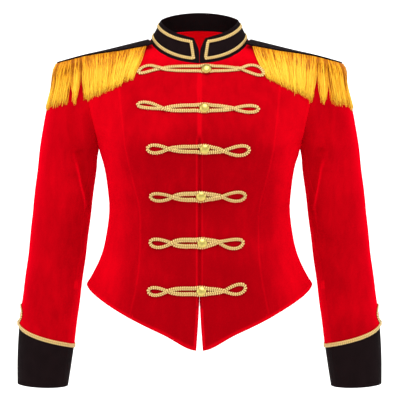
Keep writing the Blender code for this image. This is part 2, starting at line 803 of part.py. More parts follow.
def make_collar(materials, collection):
    """The stand collar in one piece, its ends edge to edge in front."""
    outer = []
    inner = []
    shares = steps(0.0, 1.0, COLLAR_COLUMNS)
    for high in COLLAR_ROWS:
        outside = [collar(share, high) for share in shares]
        inside = [
            point - collar_normal(share, high) * CLOTH for share, point in zip(shares, outside)
        ]
        inside[0].x = outside[0].x
        if high == 1.0:
            drop = Vector((0.0, 0.0, COLLAR_CORNER_DROP))
            outside[0] = outside[0] - drop
            inside[0] = inside[0] - drop
        outer.append([mirrored(point, -1) for point in outside[:-1]] + outside[::-1])
        inner.append([mirrored(point, -1) for point in inside[:-1]] + inside[::-1])
    mesh = wall("collar", outer, inner)
    return new_object("collar", mesh, materials["black_cloth"], collection)


def flat_outline(name, outlines, thick, bends=()):
    """A flat plate with holes, from closed outlines, as a mesh with welded caps.

    The bends are places across it where its faces are cut, so that it can bend there.
    """
    curve = bpy.data.curves.new(name, "CURVE")
    curve.dimensions = "2D"
    curve.fill_mode = "BOTH"
    curve.extrude = thick / 2
    for outline in outlines:
        spline = curve.splines.new("POLY")
        spline.points.add(len(outline) - 1)
        for i, (across, up) in enumerate(outline):
            spline.points[i].co = (across, up, 0.0, 1.0)
        spline.use_cyclic_u = True
    holder = bpy.data.objects.new(name, curve)
    bpy.context.scene.collection.objects.link(holder)
    bpy.context.view_layer.update()
    ready = holder.evaluated_get(bpy.context.evaluated_depsgraph_get())
    mesh = bpy.data.meshes.new_from_object(ready)
    bpy.data.objects.remove(holder, do_unlink=True)
    bpy.data.curves.remove(curve)
    build = bmesh.new()
    build.from_mesh(mesh)
    bmesh.ops.remove_doubles(build, verts=build.verts, dist=WELD)
    bmesh.ops.recalc_face_normals(build, faces=build.faces)
    level_angle = 0.01
    flat = [edge for edge in build.edges if edge.calc_face_angle(pi) < level_angle]
    between = [edge for edge in flat if abs(edge.link_faces[0].normal.z) > 0.5]
    if bends:
        bmesh.ops.dissolve_limit(build, angle_limit=level_angle, verts=[], edges=between)
    else:
        caps = [face for face in build.faces if abs(face.normal.z) > 0.5]
        bmesh.ops.beautify_fill(build, faces=caps, edges=between, method="AREA")
    for bend in bends:
        bmesh.ops.bisect_plane(
            build,
            geom=build.verts[:] + build.edges[:] + build.faces[:],
            dist=5 * WELD,
            plane_co=(bend, 0.0, 0.0),
            plane_no=(1.0, 0.0, 0.0),
        )
    build.normal_update()
    caps = [face for face in build.faces if abs(face.normal.z) > 0.5]
    bmesh.ops.triangulate(build, faces=caps, ngon_method="BEAUTY")
    build.to_mesh(mesh)
    build.free()
    mesh.materials.clear()
    return mesh


def tree_of(objects):
    """The faces of some objects, to lay other pieces on."""
    points = []
    faces = []
    for found in objects:
        base = len(points)
        points += [vertex.co.copy() for vertex in found.data.vertices]
        faces += [[base + i for i in face.vertices] for face in found.data.polygons]
    return BVHTree.FromPolygons(points, faces)


def seated(point, normal, tree):
    """The point moved along its normal onto the faces below it."""
    hit = tree.ray_cast(point + normal * SEEK, -normal, 2 * SEEK)[0]
    return hit if hit is not None else point


def laid_on(mesh, place, thick, pieces):
    """Lay a flat plate on some pieces, just clear of them.

    The place function gives a point of the form and its normal for a point of the plate.
    """
    tree = tree_of(pieces)
    faces = [list(face.vertices) for face in mesh.polygons]
    plate = []
    for vertex in mesh.vertices:
        point, normal = place(vertex.co.x, vertex.co.y)
        plate.append((seated(point, normal, tree), normal, thick / 2 + vertex.co.z))
    gap = 0.0
    crossed = True
    while crossed:
        gap += LIFT
        points = [point + normal * (gap + high) for point, normal, high in plate]
        crossed = BVHTree.FromPolygons(points, faces).overlap(tree)
    gap += SEAM_GAP
    for vertex, (point, normal, high) in zip(mesh.vertices, plate):
        vertex.co = point + normal * (gap + high)
    build = bmesh.new()
    build.from_mesh(mesh)
    bmesh.ops.recalc_face_normals(build, faces=build.faces)
    build.to_mesh(mesh)
    build.free()
    mesh.shade_smooth()
    mesh.set_sharp_from_angle(angle=radians(SHARP))


def make_collar_braid(collar_piece, materials, collection):
    """A closed line of braid, set in from the collar's edges all round."""
    height = (collar(0.0, 1.0) - collar(0.0, 0.0)).length
    side_height = (collar(0.5, 1.0) - collar(0.5, 0.0)).length
    length = 0.0
    shares = steps(0.0, 1.0, COLLAR_COLUMNS)
    for before, after in zip(shares, shares[1:]):
        length += (collar(after, 0.5) - collar(before, 0.5)).length

    def frame(inset):
        """Outline at a distance from the edges, in length along and share of the height."""
        along_front = [inset, *steps(0.0, length, COLLAR_COLUMNS)[1:]]
        low = []
        high = []
        for run in along_front:
            part = run / length
            tall = height + (side_height - height) * ease(part * 2.0)
            low.append((run, inset / tall))
            high.append((run, 1.0 - inset / tall))
        bottom = low + [(2 * length - run, share) for run, share in low[-2::-1]]
        top = high + [(2 * length - run, share) for run, share in high[-2::-1]]
        middle = [(2 * length - inset, 0.5), (inset, 0.5)]
        return [*bottom, middle[0], *top[::-1], middle[1]]

    half = COLLAR_BRAID_WIDE / 2
    outlines = [frame(COLLAR_BRAID_IN - half), frame(COLLAR_BRAID_IN + half)]
    scaled = [[(run, share * height) for run, share in outline] for outline in outlines]
    bends = steps(0.0, 2 * length, 2 * COLLAR_COLUMNS)[1:-1]
    mesh = flat_outline("collar_braid", scaled, COLLAR_BRAID_THICK, bends)

    def place(run, up):
        """A point of the collar by length along and height."""
        left = run <= length
        share = (run if left else 2 * length - run) / length
        high = min(1.0, max(0.0, up / height))
        side = 1 if left else -1
        return mirrored(collar(share, high), side), mirrored(collar_normal(share, high), side)

    laid_on(mesh, place, COLLAR_BRAID_THICK, [collar_piece])
    return new_object("collar_braid", mesh, materials["gold_braid"], collection)


def make_cuff_braids(below, materials, collection):
    """Braid over each cuff's seam, with a loop above the point."""
    half = CUFF_BRAID_WIDE / 2
    girth = pi * (SLEEVE[4].half_width + SLEEVE[4].half_depth)
    foot = (CUFF_LOOP_HALF + half) * cos(radians(CUFF_LOOP_FOOT))
    sweep = 180.0 - 2 * CUFF_LOOP_FOOT
    middle = CUFF_POINT_UP + CUFF_LOOP_TALL / 2 + half
    for name, side in SIDES:
        pitch = 360.0 / SLEEVE_COLUMNS
        angles = [-180.0 + pitch * i for i in range(SLEEVE_COLUMNS + 1)]
        angles[0] += CUFF_BRAID_APART
        angles[-1] -= CUFF_BRAID_APART
        low = [(angle / 360.0 * girth, cuff_top(angle) - half) for angle in angles]
        high = [(angle / 360.0 * girth, cuff_top(angle) + half) for angle in angles]
        top = [spot for spot in high if abs(spot[0]) > foot]
        loop = []
        hole = []
        for i in range(CUFF_LOOP_POINTS + 1):
            turn = radians(CUFF_LOOP_FOOT + sweep * i / CUFF_LOOP_POINTS)
            loop.append((
                (CUFF_LOOP_HALF + half) * cos(turn),
                middle + (CUFF_LOOP_TALL / 2) * sin(turn),
            ))
        for i in range(CUFF_LOOP_POINTS):
            turn = 2 * pi * (i + 0.5) / CUFF_LOOP_POINTS - pi / 2
            hole.append((
                (CUFF_LOOP_HALF - half) * cos(turn),
                middle + (CUFF_LOOP_TALL / 2 - 2 * half) * sin(turn),
            ))
        before = [spot for spot in top if spot[0] < 0.0]
        after = [spot for spot in top if spot[0] > 0.0]
        outline = [*low, *after[::-1], *loop, *before[::-1]]
        title = "cuff_braid_" + name
        bends = [angle / 360.0 * girth for angle in angles[1:-1]]
        mesh = flat_outline(title, [outline, hole], CUFF_BRAID_THICK, bends)
        beneath = [found for found in below if found.name.endswith(name)]

        def place(run, up):
            """A point of the sleeve or cuff by length round it and height."""
            angle = run / girth * 360.0
            step = 2.0
            step_up = 0.002
            point = ring_point(angle, up)
            turned = ring_point(angle + step, up) - ring_point(angle - step, up)
            down = ring_point(angle, up - step_up) - ring_point(angle, up + step_up)
            normal = turned.cross(down).normalized()
            return mirrored(point, side), mirrored(normal, side)

        laid_on(mesh, place, CUFF_BRAID_THICK, beneath)
        new_object(title, mesh, materials["gold_braid"], collection)


def strap_values(out):
    """Height of a strap's top along its middle, and the drop at its edges."""
    knots = [row.out for row in STRAP]
    return smooth(knots, [Vector((row.up, row.drop, 0.0)) for row in STRAP], out)


def strap_top(out, back):
    """A point of a strap's top face."""
    values = strap_values(out)
    return Vector((out, back, values.x - values.y * (back / STRAP_HALF) ** 2))


def strap_rows():
    """Places along a strap and its half width at each, with a round tip."""
    shoulder = STRAP[-1].out - STRAP_HALF
    rows = [(out, STRAP_HALF) for out in steps(STRAP_BEGIN, shoulder, STRAP_ROWS)]
    for i in range(1, STRAP_TIP_ROWS + 1):
        turn = radians(80.0 * i / STRAP_TIP_ROWS)
        rows.append((shoulder + STRAP_HALF * sin(turn), STRAP_HALF * cos(turn)))
    return rows


def drawn_in(out, back):
    """A place on a strap, nearer the neck where its front end follows the collar."""
    foot = NECK_HALF * sqrt(1.0 - (min(back, 0.0) / NECK_FRONT) ** 2) + STRAP_OFF
    share = max(0.0, 1.0 - (out - STRAP_BEGIN) / STRAP_DRAWN)
    return out - (STRAP_BEGIN - foot) * share


def make_straps(materials, collection):
    """A stiff black strap along each shoulder."""
    for name, side in SIDES:
        upper = []
        lower = []
        for out, half in strap_rows():
            backs = steps(-half, half, STRAP_COLUMNS)
            row = [strap_top(drawn_in(out, back), back) for back in backs]
            upper.append([mirrored(point, side) for point in row])
            lower.append([
                mirrored(point - Vector((0.0, 0.0, STRAP_THICK)), side) for point in row
            ])
        title = "strap_" + name
        new_object(title, wall(title, upper, lower), materials["black_cloth"], collection)


def strap_path(run):
    """Edge of a strap by length from the collar end in front: its place and outward direction."""
    straight = STRAP[-1].out - STRAP_HALF - FRINGE_BEGIN
    arc = pi * STRAP_HALF
    if run < straight:
        return FRINGE_BEGIN + run, -STRAP_HALF, Vector((0.0, -1.0, 0.0))
    if run < straight + arc:
        turn = (run - straight) / STRAP_HALF
        outward = Vector((sin(turn), -cos(turn), 0.0))
        out = FRINGE_BEGIN + straight + outward.x * STRAP_HALF
        return out, outward.y * STRAP_HALF, outward
    return FRINGE_BEGIN + 2 * straight + arc - run, STRAP_HALF, Vector((0.0, 1.0, 0.0))


def fringe_row(run):
    """The strip's four corners at a place along its path, and the path's directions."""
    out, back, outward = strap_path(run)
    edge = strap_top(out, back)
    near = edge + outward * (SEAM_GAP + LIFT)
    far = near + outward * FRINGE_THICK
    top = Vector((0.0, 0.0, -FRINGE_STRIP_DROP))
    bottom = Vector((0.0, 0.0, -FRINGE_STRIP_DROP - FRINGE_STRIP_TALL))
    return [near + top, far + top, far + bottom, near + bottom], outward


def fallen(root, outward, share, part):
    """Where a strand would be at a part of its fall with nothing behind it."""
    fall = FRINGE_FALL[0] + (FRINGE_FALL[1] - FRINGE_FALL[0]) * share
    lean = (FRINGE_LEAN[0] + (FRINGE_LEAN[1] - FRINGE_LEAN[0]) * share) * abs(outward.y)
    return root + Vector((lean * part, 0.0, -fall * part))


def pushed(root, outward, share, part, wide, side, tree):
    """How far the cloth holds a strand out at a part of its fall."""
    beside = Vector((0.0, 0.0, 1.0)).cross(outward)
    reach = 0.0
    for across in (-wide / 2, 0.0, wide / 2):
        spot = fallen(root, outward, share, part) + beside * across
        start = mirrored(spot + outward * FRINGE_SEEK, side)
        hit = tree.ray_cast(start, -mirrored(outward, side))[0]
        if hit is not None:
            reach = max(reach, (mirrored(hit, side) - spot).dot(outward) + FRINGE_OFF)
    return reach


def hang(root, outward, share, wide, side, tree):
    """Where a strand's middle and end are, so that it clears the cloth along its whole length."""
    parts = steps(0.0, 1.0, FRINGE_SAMPLES)[1:]
    needs = [pushed(root, outward, share, part, wide, side, tree) for part in parts]
    bend = max(need * FRINGE_BEND / part for part, need in zip(parts, needs) if part <= FRINGE_BEND)
    end = needs[-1]
    for part, need in zip(parts, needs):
        if FRINGE_BEND < part < 1.0:
            down = (part - FRINGE_BEND) / (1.0 - FRINGE_BEND)
            short = need - (bend * (1.0 - down) + end * down)
            if short > 0.0 and down < 0.5:
                bend += short / (1.0 - down)
            elif short > 0.0:
                end += short / down
    bend += FRINGE_BULGE * max(0.0, outward.x)
    middle = fallen(root, outward, share, FRINGE_BEND) + outward * bend
    return middle, fallen(root, outward, share, 1.0) + outward * end


def make_fringe(name, side, tree, material, collection):
    """Strands fused to a narrow strip along a strap's edge."""
    straight = STRAP[-1].out - STRAP_HALF - FRINGE_BEGIN
    length = 2 * straight + pi * STRAP_HALF
    pitch = length / FRINGE_STRANDS
    wide = pitch * FRINGE_SHARE
    runs = []
    for i in range(FRINGE_STRANDS):
        middle = pitch * (i + 0.5)
        runs += [middle - wide / 2, middle + wide / 2]
    points = []
    faces = []
    rows = [fringe_row(run) for run in runs]
    for corners, _ in rows:
        points += corners
    for r in range(len(rows) - 1):
        a, b = 4 * r, 4 * r + 4
        faces += [(a, a + 1, b + 1, b), (a + 1, a + 2, b + 2, b + 1), (a, b, b + 3, a + 3)]
        if r % 2:
            faces.append((a + 2, a + 3, b + 3, b + 2))
    end = 4 * (len(rows) - 1)
    faces += [(0, 3, 2, 1), (end, end + 1, end + 2, end + 3)]
    for i in range(FRINGE_STRANDS):
        a, b = 8 * i, 8 * i + 4
        ring = [a + 2, b + 2, b + 3, a + 3]
        middle_run = pitch * (i + 0.5)
        out, back, outward = strap_path(middle_run)
        share = min(1.0, (out - FRINGE_BEGIN) / straight)
        root = sum((points[j] for j in ring), Vector()) / 4
        beside = Vector((0.0, 0.0, 1.0)).cross(outward)
        sections = [ring]
        places = hang(root, outward, share, wide, side, tree)
        for part, centre in zip((FRINGE_BEND, 1.0), places):
            shrink = 1.0 - (1.0 - FRINGE_TAPER) * part
            half = beside * (wide / 2 * shrink)
            deep = outward * (FRINGE_THICK / 2 * shrink)
            base = len(points)
            points += [
                centre - half + deep,
                centre + half + deep,
                centre + half - deep,
                centre - half - deep,
            ]
            sections.append([base, base + 1, base + 2, base + 3])
        for upper, lower in zip(sections, sections[1:]):
            for j in range(4):
                k = (j + 1) % 4
                faces.append((upper[j], upper[k], lower[k], lower[j]))
        faces.append(tuple(sections[-1]))
    title = "fringe_" + name
    mesh = mesh_from(title, [mirrored(point, side) for point in points], faces, 30.0)
    return new_object(title, mesh, material, collection)


def on_front(out, up):
    """The point and normal of the front at a place seen from the front."""
    side = 1 if out >= 0.0 else -1
    target = abs(out)
    across = 1.0
    level = 1.0
    step = 0.01
    tries = 12
    for _ in range(tries):
        point = body(across, level)
        miss = Vector((target - point.x, up - point.z))
        if miss.length < WELD / 10:
            break
        a = (body(min(across + step, 3.0), level) - point) / step
        b = (body(across, min(level + step, 2.0)) - point) / step
        if level + step > 2.0:
            b = (point - body(across, level - step)) / step
        turn = a.x * b.z - b.x * a.z
        across += (miss.x * b.z - b.x * miss.y) / turn
        level += (a.x * miss.y - miss.x * a.z) / turn
        across = min(3.0 - 2 * step, max(0.0, across))
        level = min(2.0, max(0.0, level))
    return mirrored(body(across, level), side), mirrored(body_normal(across, level), side)


def loop_shape(share):
    """Half height of an end loop's middle line, and how far along it is, from crossing to end."""
    turn = pi * share
    return (1.0 - cos(turn)) / 2.0, FROG_LOOP_PEAK * sin(turn) * sin(turn / 2.0)


def frog_outlines(frog):
    """The outside and the three holes of a frog, across and up from its middle."""
    half = FROG_CORD / 2
    outline = []
    holes = []
    lobe = []
    lobe_hole = []
    reach = frog.left_cross - frog.right_cross
    middle = (frog.left_cross + frog.right_cross) / 2
    for i in range(FROG_LOBE_STEPS + 1):
        part = 1.0 - 2.0 * i / FROG_LOBE_STEPS
        high = frog.lobe * (1.0 - part**4)
        slope = frog.lobe * 4.0 * abs(part) ** 3 / (reach / 2)
        out = middle + part * reach / 2
        lobe.append((out, high + half * sqrt(1.0 + slope * slope)))
        inside = high - half * sqrt(1.0 + slope * slope)
        if inside > FROG_HOLE_THIN:
            lobe_hole.append((out, inside))

    def end_loop(cross, end, tall):
        """Upper half of an end loop's outside and its hole."""
        outside = []
        hole = []
        long = abs(end - cross)
        away = 1 if end > cross else -1
        fine = 0.002
        for i in range(1, FROG_LOOP_STEPS + 1):
            share = i / FROG_LOOP_STEPS
            along_it, high = loop_shape(share)
            before = loop_shape(share - fine)
            run = Vector(((along_it - before[0]) * long, (high - before[1]) * tall))
            run.normalize()
            left = Vector((-run.y, run.x))
            spot = Vector((along_it * long, high * tall))
            outer = spot + left * half
            inner = spot - left * half
            if outer.x > FROG_CORD / 3:
                outside.append((cross + away * outer.x, max(outer.y, 0.0)))
            if inner.y > FROG_HOLE_THIN and i < FROG_LOOP_STEPS:
                hole.append((cross + away * inner.x, inner.y))
        hole.append((cross + away * (long - half), 0.0))
        tip = hole[0][0] - away * hole[0][1] * FROG_HOLE_POINT
        return outside, [(tip, 0.0), *hole]

    left_out, left_hole = end_loop(frog.left_cross, frog.left, frog.left_half)
    right_out, right_hole = end_loop(frog.right_cross, frog.right, frog.right_half)
    upper = [*left_out[::-1], *lobe, *right_out]
    lower = [(out, -up) for out, up in upper[-2:0:-1]]
    outline = [*upper, *lower]
    for hole in (left_hole, right_hole):
        holes.append([*hole, *[(out, -up) for out, up in hole[-2:0:-1]]])
    ends = [(lobe_hole[0][0] + FROG_SLIT_POINT, 0.0), (lobe_hole[-1][0] - FROG_SLIT_POINT, 0.0)]
    holes.append([ends[0], *lobe_hole, ends[1], *[(out, -up) for out, up in lobe_hole[::-1]]])
    return [outline, *holes]


def frog_height(number, out, up):
    """Height of a point of a frog, with the sway of its ends."""
    frog = FROGS[number]
    if out > 0.0:
        cross, end, sway = frog.left_cross, frog.left, FROG_LEFT[number]
    else:
        cross, end, sway = frog.right_cross, frog.right, FROG_RIGHT[number]
    share = (out - cross) / (end - cross)
    if share < 0.0:
        return frog.up + up + sway.cross * (out / cross) ** 2
    middle = sway.middle - sway.cross
    tip = sway.tip - sway.cross
    rise = sway.cross + share * (4.0 * middle - tip) + share * share * (2.0 * tip - 4.0 * middle)
    return frog.up + up + rise


def make_frogs(fronts, materials, collection):
    """Six frogs laid on the fronts."""
    made = []
    for number, frog in enumerate(FROGS):
        title = "frog_" + str(number + 1)
        mesh = flat_outline(title, frog_outlines(frog), FROG_THICK)

        def place(out, up):
            """A point of the fronts by its place on the frog."""
            return on_front(out, frog_height(number, out, up))

        laid_on(mesh, place, FROG_THICK, fronts)
        made.append(new_object(title, mesh, materials["gold_braid"], collection))
    return made


def highest_below(facing, normal, tree):
    """How far a frog's cord rises over a button's place, under any part of the button."""
    rise = 0.0
    for radius in (0.0, BUTTON[2].radius / 2, BUTTON[3].radius):
        for i in range(2 * BUTTON_STEPS):
            turn = pi * i / BUTTON_STEPS
            spot = facing @ Vector((radius * cos(turn), radius * sin(turn), 2 * SEEK))
            hit = tree.ray_cast(spot, -normal, 2 * SEEK)[0]
            if hit is not None:
                rise = max(rise, 2 * SEEK - (spot - hit).length)
    return rise


def make_buttons(frogs, materials, collection):
    """A domed button on each frog's middle."""
    build = bmesh.new()
    spots = [build.verts.new((turn.radius, 0.0, turn.high)) for turn in BUTTON]
    for before, after in zip(spots, spots[1:]):
        build.edges.new((before, after))
    profile = bpy.data.meshes.new("button_profile")
    build.to_mesh(profile)
    build.free()
    for number, (frog, cord) in enumerate(zip(FROGS, frogs)):
        mesh = profile.copy()
        button = new_object("button_" + str(number + 1), mesh, materials["brass"], collection)
        turned = button.modifiers.new("Screw", "SCREW")
        turned.steps = BUTTON_STEPS
        turned.render_steps = BUTTON_STEPS
        turned.use_merge_vertices = True
        turned.merge_threshold = WELD
        turned.use_smooth_shade = True
        point, normal = on_front(frog.button, frog_height(number, frog.button, 0.0))
        normal.x = 0.0
        normal.normalize()
        facing = Matrix.Translation(point) @ normal.to_track_quat("Z", "Y").to_matrix().to_4x4()
        lift = SEAM_GAP + highest_below(facing, normal, tree_of([cord]))
        button.matrix_world = Matrix.Translation(normal * lift) @ facing
    bpy.data.meshes.remove(profile)


def main():
    """Build the jacket."""
    clear_scene()
    collection = bpy.data.collections.new("ringmaster_jacket")
    bpy.context.scene.collection.children.link(collection)
    materials = make_materials()
    panels = make_body(materials, collection)
    sleeves = make_sleeves(materials, collection)
    cuffs = make_cuffs(materials, collection)
    collar_piece = make_collar(materials, collection)
    make_collar_braid(collar_piece, materials, collection)
    make_cuff_braids(sleeves + cuffs, materials, collection)
    make_straps(materials, collection)
    fronts = [found for found in panels if "front" in found.name]
    frogs = make_frogs(fronts, materials, collection)
    make_buttons(frogs, materials, collection)
    for name, side in SIDES:
        below = [found for found in panels + sleeves if found.name.endswith(name)]
        below += [found for found in panels if found.name == "back"]
        tree = tree_of([*below, frogs[0]])
        make_fringe(name, side, tree, materials["gold_fringe"], collection)


main()
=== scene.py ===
"""Looks of the ringmaster jacket: velvet with soft creases, black woven collar, cuffs and straps,
braided gold cord, domed buttons and threaded fringe.

Units are metres and +Z is up. The origin is in the middle of the neck. The front faces -Y, and +X
is the wearer's left side.
"""

from collections import namedtuple
from math import asin, cos, pi, radians, sin, sqrt
from random import Random

import bmesh
import bpy
import numpy as np
from bpy.props import FloatProperty, FloatVectorProperty, IntProperty, PointerProperty
from bpy.types import Operator, Panel, PropertyGroup
from mathutils import Matrix, Vector
from mathutils.bvhtree import BVHTree
from mathutils.kdtree import KDTree


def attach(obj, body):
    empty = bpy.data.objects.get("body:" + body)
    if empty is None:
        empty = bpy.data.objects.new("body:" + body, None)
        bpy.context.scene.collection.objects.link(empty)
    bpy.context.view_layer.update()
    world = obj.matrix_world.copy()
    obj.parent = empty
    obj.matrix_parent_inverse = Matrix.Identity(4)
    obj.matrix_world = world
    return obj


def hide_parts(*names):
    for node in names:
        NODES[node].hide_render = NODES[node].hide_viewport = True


bl_info = {
    "name": "Ringmaster jacket",
    "version": (1, 0, 0),
    "blender": (4, 5, 0),
    "location": "View3D > Sidebar > Jacket",
    "description": "Builds the looks of a ringmaster jacket on its solids",
    "category": "Object",
}

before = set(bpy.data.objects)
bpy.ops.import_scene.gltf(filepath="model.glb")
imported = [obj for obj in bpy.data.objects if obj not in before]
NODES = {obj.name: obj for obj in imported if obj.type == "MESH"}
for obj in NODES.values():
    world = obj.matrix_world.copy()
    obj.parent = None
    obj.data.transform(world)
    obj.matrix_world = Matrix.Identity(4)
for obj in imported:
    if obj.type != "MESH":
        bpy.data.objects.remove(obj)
SIDES = (("left", 1), ("right", -1))


def table(columns, *rows):
    """A table with named columns."""
    row = namedtuple("Row", columns)
    return tuple(row(*values) for values in rows)


# Cloth
WELD = 0.00002
SHARP = radians(45.0)
FINE = 3
SEAM_REACH = 0.0032  # how far from a seam the cloth turns down to it
SEAM_DEEP = 0.0005
SEAM_HELD = 0.0015  # how far from its edge a piece is drawn to the next one
SEAM_SHUT = 0.0009  # the widest space that is closed so
ARM_NEAR = 0.0012  # from a sleeve, within which an edge belongs to the armhole
ARM_DEEP = 0.0002
SEAM_PAINTED_LIGHT = 0.45  # painted highlight: how much lighter the velvet is painted along a seam and an armhole, partly standing for nap crushed there
ARM_PAINTED_LIGHT = 0.4
CENTRE_REACH = 0.0052
CENTRE_DEEP = 0.0022  # more than at the other seams, as the fronts only meet there
CENTRE_PART = -0.15  # above this height the fronts lie flat beside each other
CENTRE_HALF = 0.012  # out from the middle, within which an edge belongs to the fronts' opening
CENTRE_OPEN = -0.434  # below this height the fronts part
CENTRE_MEET = 0.0006  # out from the middle, within which the fronts' edges meet
HEM_REACH = 0.006
HEM_HIGH = 0.0006
HEM_NEAR = 0.006  # from the hem's height, within which an edge belongs to the hem
HEM_TOP = -0.38  # the hem is nowhere above this height
SLOW_BODY = 0.0004  # height of the soft waves in the body's cloth, and in the sleeves'
SLOW_SLEEVE = 0.0005

# Flat cut of every cloth piece. Columns: piece, width, length and area of the flat cut, how it is
# held, what it rests on or hangs from, and its finish.
Cut = namedtuple("Cut", "piece wide long area held rests finish")
BODY_CUTS = (
    Cut("front", 0.15, 0.5, 0.056, "hung", ("back", "strap"), "red_velvet"),
    Cut("side_front", 0.13, 0.42, 0.04, "hung", ("back", "strap"), "red_velvet"),
    Cut("side_back", 0.12, 0.4, 0.036, "hung", ("side_front",), "red_velvet"),
)
BACK_CUT = Cut("back", 0.3, 0.42, 0.105, "hung", ("front",), "red_velvet")
SLEEVE_CUTS = (
    Cut("upper_sleeve", 0.23, 0.48, 0.088, "hung", ("side_front",), "red_velvet"),
    Cut("under_sleeve", 0.13, 0.4, 0.039, "hung", ("side_back",), "red_velvet"),
)
CUFF_CUT = Cut("cuff", 0.29, 0.1, 0.0225, "hung", ("upper_sleeve",), "black_cloth")
COLLAR_CUT = Cut("collar", 0.4, 0.055, 0.0155, "stretched", ("back", "front"), "black_cloth")
STRAP_CUT = Cut("strap", 0.064, 0.165, 0.0093, "laid", ("front", "upper_sleeve"), "black_cloth")

# Heights of the hems. Columns: out from the middle, front hem, back hem.
HEMS = table(
    "out front back",
    (0.0, -0.503, -0.4),
    (0.06, -0.477, -0.401),
    (0.114, -0.4524, -0.403),
    (0.1875, -0.407, -0.407),
)

# Creases of the body, seen from the front or from behind. Columns: out and height at both ends,
# half width at the first and second end, height over the cloth (less than 0 in a trough), bow.
CREASE = "out_1 up_1 out_2 up_2 wide_1 wide_2 high bow"
FRONT_CREASES = table(
    CREASE,
    (0.168, -0.15, 0.128, -0.178, 0.008, 0.014, 0.0016, 0.003),
    (0.166, -0.166, 0.12, -0.204, 0.007, 0.013, -0.0014, 0.004),
    (0.163, -0.19, 0.132, -0.236, 0.008, 0.015, 0.0014, 0.004),
    (-0.169, -0.146, -0.131, -0.17, 0.007, 0.013, 0.0015, -0.004),
    (-0.167, -0.16, -0.117, -0.196, 0.008, 0.014, -0.0015, -0.004),
    (-0.162, -0.186, -0.136, -0.244, 0.007, 0.014, 0.0013, -0.003),
    (0.15, -0.276, 0.098, -0.292, 0.006, 0.012, -0.0012, 0.003),
    (0.15, -0.3, 0.108, -0.324, 0.006, 0.013, 0.001, 0.003),
    (-0.15, -0.27, -0.104, -0.284, 0.007, 0.012, -0.0012, -0.003),
    (-0.15, -0.296, -0.094, -0.316, 0.006, 0.012, 0.0012, -0.004),
)
BACK_CREASES = table(
    CREASE,
    (0.15, -0.13, 0.06, -0.205, 0.01, 0.02, 0.0022, 0.008),
    (0.158, -0.168, 0.085, -0.226, 0.009, 0.016, -0.0018, 0.006),
    (-0.148, -0.124, -0.052, -0.212, 0.01, 0.019, 0.0022, -0.009),
    (-0.16, -0.174, -0.096, -0.222, 0.009, 0.016, -0.0017, -0.005),
    (-0.138, -0.268, 0.058, -0.274, 0.008, 0.012, -0.002, 0.006),
    (-0.04, -0.29, 0.142, -0.284, 0.01, 0.008, -0.0018, -0.005),
    (-0.126, -0.281, 0.11, -0.278, 0.009, 0.009, 0.0016, 0.0),
    (0.06, -0.06, 0.112, -0.12, 0.012, 0.018, -0.0014, 0.004),
    (-0.066, -0.066, -0.108, -0.128, 0.012, 0.016, -0.0014, -0.004),
)

# Middle line of a sleeve. Columns: height, out, back.
SLEEVE_MIDDLE = table(
    "up out back",
    (-0.573, 0.2595, -0.017),
    (-0.484, 0.2521, -0.007),
    (-0.417, 0.244, 0.001),
    (-0.35, 0.2354, 0.006),
    (-0.284, 0.2275, 0.006),
    (-0.218, 0.2189, 0.004),
    (-0.02, 0.2189, 0.004),
)
SLEEVE_TOP = -0.075  # between these heights the sleeves have creases
SLEEVE_LOW = -0.5
SLEEVE_ROUND = 0.052  # the radius by which angles round a sleeve are turned into lengths
BODY_HALF = 0.16  # half width and half depth of the body, for the way in which it bulges
BODY_DEEP = 0.11

# Creases of the left sleeve (1) and the right (-1). Columns as for the body, with the angle round the
# sleeve from its outer side by the front in place of the distance out.
FOLD = "angle_1 up_1 angle_2 up_2 wide_1 wide_2 high bow"
SLEEVE_FOLDS = {
    1: table(
        FOLD,
        (104, -0.108, 112, -0.19, 0.01, 0.013, -0.005, 0.002),
        (112, -0.18, 150, -0.29, 0.013, 0.014, -0.006, 0.004),
        (86, -0.165, 100, -0.215, 0.012, 0.015, 0.0042, 0.002),
        (98, -0.2, 146, -0.286, 0.014, 0.013, 0.005, 0.004),
        (70, -0.19, 88, -0.262, 0.014, 0.012, -0.0022, 0.003),
        (150, -0.3, 96, -0.345, 0.011, 0.016, -0.0024, -0.004),
        (158, -0.325, 110, -0.376, 0.01, 0.014, 0.002, -0.004),
        (40, -0.4, 96, -0.44, 0.011, 0.014, -0.0014, 0.003),
        (250, -0.16, 214, -0.236, 0.012, 0.016, -0.0035, 0.004),
        (262, -0.19, 226, -0.262, 0.012, 0.014, 0.0032, 0.004),
        (276, -0.296, 206, -0.318, 0.01, 0.014, -0.003, 0.004),
        (268, -0.322, 216, -0.352, 0.01, 0.013, 0.0026, -0.003),
        (262, -0.42, 222, -0.452, 0.01, 0.012, -0.0016, 0.003),
    ),
    -1: table(
        FOLD,
        (102, -0.112, 114, -0.196, 0.011, 0.013, -0.005, 0.002),
        (113, -0.184, 152, -0.284, 0.013, 0.014, -0.006, 0.005),
        (88, -0.17, 104, -0.222, 0.013, 0.014, 0.0044, 0.002),
        (100, -0.206, 148, -0.28, 0.013, 0.013, 0.005, 0.004),
        (66, -0.2, 90, -0.276, 0.014, 0.012, -0.002, 0.003),
        (152, -0.31, 102, -0.352, 0.011, 0.015, -0.0022, -0.004),
        (156, -0.338, 104, -0.392, 0.01, 0.014, 0.0018, -0.004),
        (46, -0.41, 90, -0.452, 0.011, 0.014, -0.0013, 0.003),
        (254, -0.154, 210, -0.242, 0.012, 0.016, -0.0036, 0.004),
        (266, -0.184, 222, -0.268, 0.012, 0.014, 0.0032, 0.004),
        (272, -0.29, 210, -0.324, 0.01, 0.013, -0.0028, 0.005),
        (264, -0.33, 212, -0.346, 0.01, 0.013, 0.0026, -0.003),
        (258, -0.43, 218, -0.444, 0.01, 0.012, -0.0015, 0.003),
    ),
}

